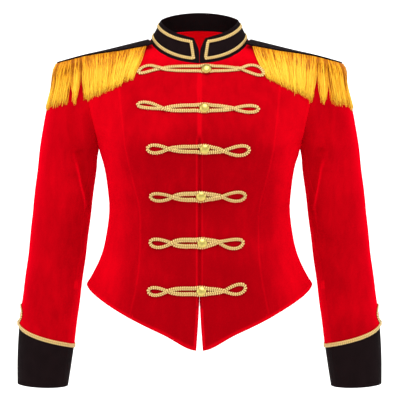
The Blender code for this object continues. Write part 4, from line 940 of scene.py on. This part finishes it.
def swept(title, centres, normals, cord, closed, nodes, wides=None):
    """A flat plaited cord along a line of points, with its own width at each where given."""
    if closed:
        before, after = np.roll(centres, 1, 0), np.roll(centres, -1, 0)
    else:
        before = np.vstack([centres[:1], centres[:-1]])
        after = np.vstack([centres[1:], centres[-1:]])
    along = unit(after - before)
    beside = unit(np.cross(along, normals))
    normals = np.cross(beside, along)
    run = lengths(centres)
    whole = run[-1] + (np.linalg.norm(centres[0] - centres[-1]) if closed else 0.0)
    turns = max(1, round(whole / cord.pitch))
    points = []
    painted_strand_shade = []
    for i in range(len(centres)):
        phase = 2 * pi * turns * run[i] / whole
        half = (cord.wide if wides is None else wides[i]) / 2
        for j in range(CORD_SIDES):
            turn = 2 * pi * (j + 0.5) / CORD_SIDES
            across = np.sign(cos(turn)) * abs(cos(turn)) ** CORD_SQUARE
            rise = sin(turn)
            strand = 0.5 + 0.5 * cos(phase - CORD_SLANT * abs(across))
            middle = max(0.0, 1.0 - abs(across) / GROOVE_HALF)
            wave = half * across * (0.95 + STRAND_WIDE * (strand - 0.5))
            lift = cord.thick / 2 * rise * (0.62 + STRAND_HIGH * strand - GROOVE_DEEP * middle)
            points.append(centres[i] + beside[i] * wave + normals[i] * lift)
            # Painted shade between the strands, in the middle groove and on the underside facing the cloth;
            # the strands' crests are painted light.
            painted_strand_shade.append(strand * (1.0 - GROOVE_PAINTED_SHADE * middle) * ease((rise + 0.15) / 0.5))
    faces = tube_faces(0, len(centres), CORD_SIDES, closed)
    tube_piece(title, points, faces, "strand", painted_strand_shade, "gold_braid", nodes)


def tube_faces(base, rings, sides, closed=False):
    """The faces of a tube whose points follow ring by ring from a number on."""
    faces = []
    for i in range(rings if closed else rings - 1):
        a, b = base + i * sides, base + (i + 1) % rings * sides
        for j in range(sides):
            k = (j + 1) % sides
            faces.append((a + j, a + k, b + k, b + j))
    if not closed:
        faces.append(tuple(range(base, base + sides))[::-1])
        last = base + (rings - 1) * sides
        faces.append(tuple(range(last, last + sides)))
    return faces


def tube_piece(title, points, faces, name, values, slot, nodes):
    """A piece made of closed tubes, their faces turned outward, with a value for each point."""
    mesh = bpy.data.meshes.new(title)
    mesh.from_pydata([tuple(point) for point in points], [], faces)
    build = bmesh.new()
    build.from_mesh(mesh)
    bmesh.ops.recalc_face_normals(build, faces=build.faces)
    build.to_mesh(mesh)
    build.free()
    mesh.shade_smooth()
    keep_values(mesh, name, values)
    return new_piece(title, mesh, slot, nodes)


def lengths(points):
    """Length along a line of points up to each of them."""
    return np.concatenate([[0.0], np.cumsum(np.linalg.norm(np.diff(points, axis=0), axis=1))])


def evenly(path, step, closed):
    """The path again with its points a step apart along it."""
    points = np.array([tuple(spot) for spot in path], float)
    if closed:
        points = np.vstack([points, points[:1]])
    run = lengths(points)
    count = max(8, int(round(run[-1] / step)))
    wanted = np.linspace(0.0, run[-1], count if closed else count + 1, endpoint=not closed)
    return np.stack([np.interp(wanted, run, points[:, k]) for k in range(points.shape[1])], 1)


def softened(values, reach, closed):
    """Values along a line, each the mean of its neighbours."""
    values = np.asarray(values, float)
    weights = np.hanning(2 * reach + 3)[1:-1]
    weights /= weights.sum()
    mode = "wrap" if closed else "edge"
    padded = np.pad(values, [(reach, reach)] + [(0, 0)] * (values.ndim - 1), mode=mode)
    result = np.zeros_like(values)
    for k, weight in enumerate(weights):
        result += weight * padded[k:k + len(values)]
    return result


def overs(flat, closed, rise):
    """Rise of one strand over the other wherever a flat path crosses itself."""
    count = len(flat)
    lift = np.zeros(count)
    gap = np.linalg.norm(flat[:, None, :] - flat[None, :, :], axis=2)
    index = np.arange(count)
    apart = np.abs(index[:, None] - index[None, :])
    if closed:
        apart = np.minimum(apart, count - apart)
    step = np.linalg.norm(flat[1] - flat[0])
    gap[apart < SELF_APART / step] = 1.0
    crossings = []
    for i in np.argsort(gap.min(axis=1)):
        j = int(gap[i].argmin())
        if gap[i, j] > 1.2 * step:
            break
        if all(min(abs(i - k), count - abs(i - k)) > CROSS_APART / step for k in crossings):
            crossings += [int(i), j]
            for middle, share in ((i, 1.0), (j, CROSS_UNDER)):
                away = np.abs(index - middle)
                away = np.minimum(away, count - away) if closed else away
                lift += share * rise * ease(1.0 - away * step / CROSS_REACH)
    return lift


def frog_path(frog):
    """A frog's cord as a closed path seen from the front, from its middle."""
    path = []
    middle = (frog.left_cross + frog.right_cross) / 2
    reach = (frog.left_cross - frog.right_cross) / 2

    def lobe(way, above):
        """One strand of the middle lobe."""
        for part in steps(-way, way, LOBE_STEPS)[:-1]:
            high = frog.lobe * (1.0 - part**4) * (1.0 - frog.skew * part)
            path.append((middle + part * reach, above * high))

    def loop(cross, end, tall, above):
        """The loop at one end, from its crossing and back."""
        for share in [*steps(0.0, 1.0, LOOP_STEPS)[:-1], *steps(1.0, 0.0, LOOP_STEPS)[:-1]]:
            turn = pi * share
            along = (1.0 - cos(turn)) / 2.0
            high = LOOP_FULL * sin(turn) * sin(turn / 2.0) * tall
            path.append((cross + (end - cross) * along, above * high))
            if share == 1.0:
                above = -above

    lobe(1, 1)
    loop(frog.left_cross, frog.left, frog.left_half, -1)
    lobe(-1, -1)
    loop(frog.right_cross, frog.right, frog.right_half, 1)
    return path


def frog_rise(number, out):
    """How far a place on a frog is above its middle."""
    frog = FROGS[number]
    if out > 0.0:
        cross, end, sway = frog.left_cross, frog.left, FROG_LEFT[number]
    else:
        cross, end, sway = frog.right_cross, frog.right, FROG_RIGHT[number]
    share = (out - cross) / (end - cross)
    if share < 0.0:
        return sway.cross * (out / cross) ** 2
    middle = sway.middle - sway.cross
    tip = sway.tip - sway.cross
    return sway.cross + share * (4.0 * middle - tip) + share * share * (2.0 * tip - 4.0 * middle)


def on_front(out, up, tree):
    """The place and normal of the front's cloth seen from the front."""
    for shift in (0.0, 0.0008, -0.0008, 0.003, -0.003):
        start = Vector((out + shift, -0.4, up))
        hit, normal, _, _ = tree.ray_cast(start, Vector((0.0, 1.0, 0.0)))
        if hit is not None and normal.y < -0.2:
            return Vector((out, hit.y, up)), normal
    raise ValueError("no cloth in front at " + str((out, up)))


def front_titles():
    """The pieces that the frogs are laid on."""
    return ["velvet_" + part + "_" + name for part in ("front", "side_front") for name, _ in SIDES]


def make_frogs():
    """Six frogs, each a closed cord that crosses itself beside its two loops."""
    tree = tree_of(front_titles())
    for number, frog in enumerate(FROGS):
        flat = evenly(frog_path(frog), CORD_STEP, True)
        in_lobe = (flat[:, 0] > frog.right_cross) & (flat[:, 0] < frog.left_cross)
        wides = softened(np.where(in_lobe, frog.lobe * LOBE_CORD, FROG_CORD.wide), FROG_SOFT, True)
        beside = ease(1.0 - np.abs(flat[:, 0] - frog.button) / BUTTON_REACH)
        flat[:, 1] += np.sign(flat[:, 1]) * BUTTON_PUSH * beside
        found = [on_front(out, frog.up + up + frog_rise(number, out), tree) for out, up in flat]
        places = np.array([hit[:] for hit, _ in found])
        places[:, 1] = softened(places[:, 1], FROG_DEPTH_SOFT, True)
        normals = unit(softened([normal[:] for _, normal in found], FROG_SOFT, True))
        lift = overs(flat, True, FROG_RISE) + FROG_CORD.thick / 2 - FROG_SINK
        title = "frog_" + str(number + 1)
        places += normals * lift[:, None]
        swept("cord_" + title, places, normals, FROG_CORD, True, [title], wides)


def ring_point(ring, angle):
    """A point of the neckline or the collar's top, from 0 degrees at the front to 180 at the back."""
    turn = radians(angle)
    reach = abs(cos(turn))
    out = ring.half * sin(turn)
    if angle <= 90.0:
        return Vector((out, -ring.front * reach, ring.side_up - ring.drop * reach**ring.dip))
    return Vector((out, ring.back * reach, ring.side_up + ring.rise * reach**ring.dip))


def collar_point(share, high):
    """The collar's outer face on the left: share 0 is its front end and 1 the middle of the back."""
    part = max(0.0, (high - COLLAR_MEET) / (1.0 - COLLAR_MEET))
    half = NECK.half + (COLLAR_TOP.half - NECK.half) * high
    start = asin(COLLAR_NOTCH * part / half) * 180.0 / pi
    angle = start + (180.0 - start) * share
    return ring_point(NECK, angle).lerp(ring_point(COLLAR_TOP, angle), high)


def make_collar_braid():
    """A closed line of braid, set in from the collar's edges all round."""
    tree = tree_of(["cloth_collar"])
    height = (collar_point(0.0, 1.0) - collar_point(0.0, 0.0)).length
    side_height = (collar_point(0.5, 1.0) - collar_point(0.5, 0.0)).length
    runs = [collar_point(share, 0.5) for share in steps(0.0, 1.0, 60)]
    length = sum((after - before).length for before, after in zip(runs, runs[1:]))
    path = []
    for side, low, first, last in (
        (1, True, COLLAR_INSET, length),
        (-1, True, length, COLLAR_INSET),
        (-1, False, COLLAR_INSET, length),
        (1, False, length, COLLAR_INSET),
    ):
        for run in steps(first, last, COLLAR_STEPS):
            tall = height + (side_height - height) * float(ease(run / length * 2.0))
            inset = COLLAR_INSET / tall
            path.append(mirrored(collar_point(run / length, inset if low else 1.0 - inset), side)[:])
    places = []
    normals = []
    for point in softened(evenly(path, CORD_STEP, True), 2, True):
        hit, normal, _, _ = tree.find_nearest(Vector(point))
        outer = Vector((hit.x, hit.y, 0.0)).normalized()
        if normal.dot(outer) < 0.0:
            hit, normal, _, _ = tree.ray_cast(hit + outer * 0.01, -outer)
        places.append(hit[:])
        normals.append(normal[:])
    normals = unit(softened(normals, COLLAR_SOFT, True))
    places = softened(places, 3, True) + normals * (COLLAR_CORD.thick / 2)
    swept("cord_collar", places, normals, COLLAR_CORD, True, ["collar_braid"])


def cuff_top(angle):
    """Height of the cuff's top edge."""
    from_point = min(angle % 360.0, 360.0 - angle % 360.0)
    return CUFF_POINT_UP - CUFF_INNER_DROP * (1.0 - (1.0 - from_point / 180.0) ** CUFF_SLOPE)


def cuff_edge(first, last):
    """Points along the cuff's top edge between two angles, laid flat."""
    return [(angle / 360.0 * CUFF_ROUND, cuff_top(angle)) for angle in steps(first, last, CUFF_STEPS)]


def cuff_path():
    """The braid's line over a cuff's seam with its loop above the point, laid flat."""
    path = cuff_edge(-180.0 + CUFF_APART, -CUFF_CROSS)
    begin = path[-1][0]
    rise = cuff_top(CUFF_CROSS)
    for part in steps(0.0, 1.0, 60)[1:-1]:
        turn = 2 * pi * part
        aside = begin * (1.0 - 2.0 * part) + CUFF_LOOP_HALF * sin(turn)
        path.append((aside, rise + CUFF_LOOP_TALL * (1.0 - cos(turn)) / 2.0))
    path += cuff_edge(CUFF_CROSS, 180.0 - CUFF_APART)
    return softened(evenly(path, CORD_STEP, False), 6, False)


def make_cuff_braids():
    """Braid over each cuff's seam, crossing itself in a loop above the cuff's point."""
    flat = cuff_path()
    lift = overs(flat, False, CUFF_RISE) + CUFF_CORD.thick / 2 - CUFF_SINK
    for name, side in SIDES:
        tree = tree_of(["velvet_upper_sleeve_" + name, "velvet_under_sleeve_" + name, "cloth_cuff_" + name])
        places = []
        normals = []
        for run, up in flat:
            angle = radians(run / CUFF_ROUND * 360.0)
            middle_out, middle_back = between(SLEEVE_MIDDLE, up, "out", "back")
            away = Vector((cos(angle) * side, -sin(angle), 0.0))
            reach = 0.0
            for beside in (-0.003, 0.0, 0.003):
                start = Vector((middle_out * side, middle_back, up + beside)) + away * CUFF_AWAY
                hit = tree.ray_cast(start, -away)[0]
                if hit is not None:
                    reach = max(reach, CUFF_AWAY - (hit - start).length)
            places.append((Vector((middle_out * side, middle_back, up)) + away * reach)[:])
            normals.append(away[:])
        normals = np.array(normals)
        places = softened(places, 4, False) + normals * lift[:, None]
        swept("cord_cuff_" + name, places, normals, CUFF_CORD, False, ["cuff_braid_" + name])


def button_mesh():
    """One button: a plain dome with its edge rounded under."""
    radius = settings().button_radius
    bpy.ops.object.select_all(action="DESELECT")
    bpy.ops.mesh.primitive_uv_sphere_add(
        segments=BUTTON_SIDES, ring_count=BUTTON_RINGS, radius=radius
    )
    dome = bpy.context.object
    bpy.ops.object.mode_set(mode="EDIT")
    bpy.ops.mesh.select_all(action="SELECT")
    bpy.ops.mesh.bisect(
        plane_co=(0.0, 0.0, -radius * BUTTON_CUT), plane_no=(0.0, 0.0, 1.0), clear_inner=True, use_fill=True
    )
    bpy.ops.mesh.select_all(action="SELECT")
    bpy.ops.transform.resize(value=(1.0, 1.0, BUTTON_HIGH), center_override=(0.0, 0.0, 0.0))
    bpy.ops.object.mode_set(mode="OBJECT")
    bpy.ops.object.shade_smooth_by_angle(angle=radians(50.0))
    mesh = dome.data.copy()
    bpy.data.objects.remove(dome, do_unlink=True)
    return mesh


def make_buttons():
    """Six buttons, each on its frog."""
    whole = button_mesh()
    seat = settings().button_radius * BUTTON_SEAT
    cloth = tree_of(front_titles())
    chance = Random(7)
    for number, frog in enumerate(FROGS):
        up = frog.up + frog_rise(number, frog.button)
        total = Vector((0.0, 0.0, 0.0))
        lowest = 1.0
        for i in range(12):
            turn = 2 * pi * i / 12
            hit, normal = on_front(frog.button + seat * cos(turn), up + seat * sin(turn), cloth)
            total += normal
            lowest = min(lowest, hit.y)
        turned = total.normalized().to_track_quat("Z", "Y").to_matrix().to_4x4()
        for axis in ("X", "Y"):
            askew = radians(chance.uniform(-BUTTON_TURN, BUTTON_TURN))
            turned = turned @ Matrix.Rotation(askew, 4, axis)
        mesh = whole.copy()
        mesh.transform(Matrix.Translation((frog.button, lowest, up)) @ turned)
        title = "button_" + str(number + 1)
        new_piece(title.replace("_", "_dome_"), mesh, "brass", [title])


def strap_path(run):
    """Edge of a strap by length from the collar end in front: its place and outward direction."""
    if run < STRAP_STRAIGHT:
        return STRAP_BEGIN + run, -STRAP_HALF, Vector((0.0, -1.0, 0.0))
    if run < STRAP_STRAIGHT + STRAP_ARC:
        turn = (run - STRAP_STRAIGHT) / STRAP_HALF
        way = Vector((sin(turn), -cos(turn), 0.0))
        return STRAP_BEGIN + STRAP_STRAIGHT + way.x * STRAP_HALF, way.y * STRAP_HALF, way
    return STRAP_BEGIN + 2 * STRAP_STRAIGHT + STRAP_ARC - run, STRAP_HALF, Vector((0.0, 1.0, 0.0))


def strap_edge(run):
    """The fringe's top at a place along a strap's edge, and the outward direction."""
    out, back, way = strap_path(run)
    up, drop = between(STRAP, out, "up", "drop")
    return Vector((out, back, up - drop * (back / STRAP_HALF) ** 2 - STRAP_EDGE)), way


def group_at(out):
    """The group of threads at a place out from the middle, where it begins and the share within it."""
    begin = STRAP_BEGIN
    for group in GROUPS:
        if out <= group.end or group is GROUPS[-1]:
            return group, begin, min(1.0, (out - begin) / (group.end - begin))
        begin = group.end


def thread_line(run, aside, long, layer, side, tree, chance):
    """The line of one thread, laid over the cloth below it."""
    edge, way = strap_edge(run)
    group, begin, share = group_at(edge.x)
    fall = (group.fall_in + (group.fall_out - group.fall_in) * share) * long
    fall *= 1.0 - GROUP_POINT * group.drawn * (2.0 * share - 1.0) ** 2
    lean = group.lean_in + (group.lean_out - group.lean_in) * share
    drawn = ((begin + group.end) / 2 - edge.x) * group.drawn
    beside = Vector((0.0, 0.0, 1.0)).cross(way)
    root = edge + way * (THREAD_OUT + LAYER_OUT * layer) + Vector((0.0, 0.0, chance.uniform(*THREAD_ROOT)))
    curl = chance.gauss(0.0, THREAD_CURL)
    bulge = FRINGE_BULGE * max(0.0, way.x)
    line = [root]
    for i in range(1, THREAD_STEPS + 1):
        part = i / THREAD_STEPS
        sideways = lean * part + drawn * part**4 + bulge * sin(pi * part**0.6)
        spot = root + Vector((sideways, 0.0, -fall * part))
        spot += beside * (aside * part + curl * sin(pi * part))
        start = mirrored(spot + way * 0.3, side)
        hit = tree.ray_cast(start, -mirrored(way, side))[0]
        reach = 0.0
        if hit is not None:
            reach = max(0.0, (mirrored(hit, side) - spot).dot(way)) + THREAD_OFF
        line.append(spot + way * (reach + LAYER_APART * layer * ease(part * 3.0)))
    for i in range(1, THREAD_STEPS):
        need = (line[i + 1] - line[i - 1]).dot(way) / 2 + (line[i - 1] - line[i]).dot(way)
        if need > 0.0:
            line[i] = line[i] + way * need
    return [mirrored(point, side) for point in line]


def pushed_aside(run):
    """How far a thread in front is pushed along the edge at its tip by the gaps beside it."""
    out, _, way = strap_path(run)
    if way.y > 0.0:
        return 0.0
    total = 0.0
    for parting in PARTINGS:
        beside = out - parting.out
        total += parting.push * np.sign(beside) * ease(1.0 - abs(beside) / parting.reach)
    return float(total)


def fringe_threads(side, tree):
    """The threads along a strap's edge in uneven locks: line, tone, shadow and half width of each."""
    chance = Random(41 + side)
    length = 2 * STRAP_STRAIGHT + STRAP_ARC
    threads = settings().threads
    made = []
    run = 0.0
    wander = 0.0
    while run < length:
        pitch = min(LOCK_LENGTH * chance.uniform(*LOCK_PITCH), length - run)
        middle = run + pitch / 2
        lock_long = chance.uniform(*LOCK_LONG)
        gather = chance.uniform(*LOCK_GATHER)
        drift = chance.gauss(0.0, LOCK_DRIFT)
        wander = 0.75 * wander + chance.gauss(0.0, 0.05)
        count = max(2, round(threads * pitch / LOCK_LENGTH))
        for layer in range(THREAD_LAYERS):
            for i in range(count):
                own = run + pitch * (i + chance.uniform(0.0, 1.0)) / count
                aside = drift + (middle - own) * gather + chance.gauss(0.0, THREAD_ASIDE) + pushed_aside(own)
                long = lock_long * chance.uniform(*THREAD_LONG) - 0.03 * abs(own - middle) / pitch
                if chance.random() < SHORT_SHARE:
                    long *= chance.uniform(*SHORT_LONG)
                line = thread_line(own, aside, long, layer, side, tree, chance)
                # Painted shade: threads darker towards the edges of their lock, beside a gap between groups,
                # for a share of threads standing for gaps between them, and in the layers nearer the cloth.
                tone = THREAD_TONE + wander - 0.04 * abs(own - middle) / (pitch / 2)
                beside = min(abs(strap_path(own)[0] - group.end) for group in GROUPS[:-1])
                tone -= GROUP_PAINTED_SHADE * ease(1.0 - beside / GROUP_EDGE)
                if chance.random() < DARK_SHARE:
                    tone -= DARK_TONE
                tone = tone + 0.08 * (layer - 1) + chance.uniform(-0.2, 0.2)
                shadow = chance.uniform(0.4, 1.0) if chance.random() < SHADOW_SHARE else 0.0
                made.append((line, tone, shadow, chance.uniform(*THREAD_HALF)))
        run += pitch
    return made


def make_fringe(name, side):
    """Locks of fine threads along a strap's edge, each thread a four-sided tube."""
    parts = ("front", "side_front", "side_back", "upper_sleeve")
    tree = tree_of([*["velvet_" + part + "_" + name for part in parts], "velvet_back"])
    points = []
    values = []
    faces = []
    for line, tone, shadow, wide in fringe_threads(side, tree):
        faces += tube_faces(len(points), THREAD_STEPS + 1, 4)
        for i, point in enumerate(line):
            part = i / THREAD_STEPS
            ahead = line[min(i + 1, THREAD_STEPS)] - line[max(i - 1, 0)]
            one = ahead.cross(Vector((0.3, 1.0, 0.0))).normalized()
            two = ahead.cross(one).normalized()
            half = wide * (1.0 - 0.5 * part**3)
            # Painted shadow at the tops of some threads, and painted shade on every thread just under the
            # strap's edge; threads are lighter towards their tips.
            dark = shadow * ease((0.4 - part) / 0.15) + 0.3 * (1.0 - part) ** 6
            for j in range(4):
                turn = pi / 2 * j + tone * 5.0
                points.append(point + (one * cos(turn) + two * sin(turn)) * half)
                values.append(tone + 0.34 * (part - 0.4) - dark)
    title = "fringe_threads_" + name
    return tube_piece(title, points, faces, "tone", values, "gold_fringe", ["fringe_" + name])


def make_stage():
    """Pale floor with a back that curves up, soft lights and the camera."""
    profile = [(FLOOR_NEAR, FLOOR_UP), (FLOOR_FAR, FLOOR_UP)]
    for turn in steps(0.0, 90.0, 12):
        up = FLOOR_UP + FLOOR_ROUND * (1.0 - cos(radians(turn)))
        profile.append((FLOOR_FAR + FLOOR_ROUND * sin(radians(turn)), up))
    profile.append((FLOOR_FAR + FLOOR_ROUND, FLOOR_TOP))
    count = len(profile)
    mesh = bpy.data.meshes.new("floor")
    points = [(out, back, up) for out in (-FLOOR_HALF, FLOOR_HALF) for back, up in profile]
    mesh.from_pydata(points, [], [(i, count + i, count + i + 1, i + 1) for i in range(count - 1)])
    mesh.shade_smooth()
    floor = put("floor", mesh)
    pale, _, shader = new_material("floor", (0.93, 0.93, 0.93), 0.9)
    shader.inputs["Emission Color"].default_value = WHITE
    shader.inputs["Emission Strength"].default_value = FLOOR_GLOW
    mesh.materials.append(pale)
    scene = bpy.context.scene
    scene.view_settings.view_transform = "Standard"
    if scene.world is None:
        scene.world = bpy.data.worlds.new("studio")
    scene.world.use_nodes = True
    sky = scene.world.node_tree.nodes["Background"]
    sky.inputs["Color"].default_value = WHITE
    sky.inputs["Strength"].default_value = WORLD_GLOW
    for light in LIGHTS:
        lamp = bpy.data.lights.new(light.name, "AREA")
        lamp.size = light.size
        lamp.energy = light.power
        aim = Vector(LIGHT_AIM) - Vector(light.place)
        put(light.name, lamp, light.place, aim.to_track_quat("-Z", "Y").to_euler())
    view = bpy.data.cameras.new("camera")
    view.lens = CAMERA_LENS
    view.sensor_width = 36.0
    view.clip_start = 0.1
    view.clip_end = 100.0
    tilt = (radians(90.0 - CAMERA_TILT), 0.0, 0.0)
    scene.camera = put("camera", view, (CAMERA_OUT, -CAMERA_AWAY, 0.0), tilt)


class JACKET_OT_stage(Operator):
    """Make the floor, lights and camera"""

    bl_idname = "jacket.stage"
    bl_label = "Floor, lights and camera"

    def execute(self, context):
        make_stage()
        return {"FINISHED"}


class JACKET_OT_body(Operator):
    """Make the velvet panels of the body"""

    bl_idname = "jacket.body"
    bl_label = "Body panels"

    def execute(self, context):
        for name, side in SIDES:
            for cut in BODY_CUTS:
                velvet_piece(cut, name, side)
        velvet_piece(BACK_CUT, "", 1)
        return {"FINISHED"}


class JACKET_OT_sleeves(Operator):
    """Make the velvet pieces of the sleeves"""

    bl_idname = "jacket.sleeves"
    bl_label = "Sleeves"

    def execute(self, context):
        for name, side in SIDES:
            for cut in SLEEVE_CUTS:
                velvet_piece(cut, name, side, sleeve=True)
        return {"FINISHED"}


class JACKET_OT_collar(Operator):
    """Make the stand collar"""

    bl_idname = "jacket.collar"
    bl_label = "Collar"

    def execute(self, context):
        black_piece(COLLAR_CUT, "")
        return {"FINISHED"}


class JACKET_OT_cuffs(Operator):
    """Make the cuffs"""

    bl_idname = "jacket.cuffs"
    bl_label = "Cuffs"

    def execute(self, context):
        for name, _ in SIDES:
            black_piece(CUFF_CUT, name)
        return {"FINISHED"}


class JACKET_OT_frogs(Operator):
    """Make the cord frogs"""

    bl_idname = "jacket.frogs"
    bl_label = "Frogs"

    def execute(self, context):
        make_frogs()
        return {"FINISHED"}


class JACKET_OT_braid(Operator):
    """Make the braid on the collar and over the cuffs' seams"""

    bl_idname = "jacket.braid"
    bl_label = "Collar and cuff braid"

    def execute(self, context):
        make_collar_braid()
        make_cuff_braids()
        return {"FINISHED"}


class JACKET_OT_buttons(Operator):
    """Make the domed buttons"""

    bl_idname = "jacket.buttons"
    bl_label = "Buttons"

    def execute(self, context):
        make_buttons()
        return {"FINISHED"}


class JACKET_OT_straps(Operator):
    """Make the shoulder straps and their fringe"""

    bl_idname = "jacket.straps"
    bl_label = "Shoulder straps and fringe"

    def execute(self, context):
        for name, side in SIDES:
            strap = soft_copy("cloth_strap_" + name, "strap_" + name, STRAP_CUT.finish, 2)
            thickened(strap.data)
            fringe = make_fringe(name, side)
        return {"FINISHED"}


class JACKET_PT_panel(Panel):
    """The jacket's buttons and settings in the sidebar."""

    bl_idname = "JACKET_PT_panel"
    bl_label = "Ringmaster jacket"
    bl_space_type = "VIEW_3D"
    bl_region_type = "UI"
    bl_category = "Jacket"

    def draw(self, context):
        chosen = context.scene.jacket_settings
        for name in JacketSettings.__annotations__:
            self.layout.prop(chosen, name)
        for operator in OPERATORS:
            self.layout.operator(operator.bl_idname)


OPERATORS = (
    JACKET_OT_stage,
    JACKET_OT_body,
    JACKET_OT_sleeves,
    JACKET_OT_collar,
    JACKET_OT_cuffs,
    JACKET_OT_frogs,
    JACKET_OT_braid,
    JACKET_OT_buttons,
    JACKET_OT_straps,
)
CLASSES = (JacketSettings, *OPERATORS, JACKET_PT_panel)


def register():
    """Add the settings, operators and panel to Blender."""
    for found in CLASSES:
        bpy.utils.register_class(found)
    bpy.types.Scene.jacket_settings = PointerProperty(type=JacketSettings)


def unregister():
    """Take them out again."""
    del bpy.types.Scene.jacket_settings
    for found in reversed(CLASSES):
        bpy.utils.unregister_class(found)


def main():
    """Make every piece in order."""
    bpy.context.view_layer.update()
    register()
    bpy.ops.jacket.stage()
    bpy.ops.jacket.body()
    bpy.ops.jacket.sleeves()
    bpy.ops.jacket.collar()
    bpy.ops.jacket.cuffs()
    bpy.ops.jacket.frogs()
    bpy.ops.jacket.braid()
    bpy.ops.jacket.buttons()
    bpy.ops.jacket.straps()


if __name__ == "__main__":
    main()
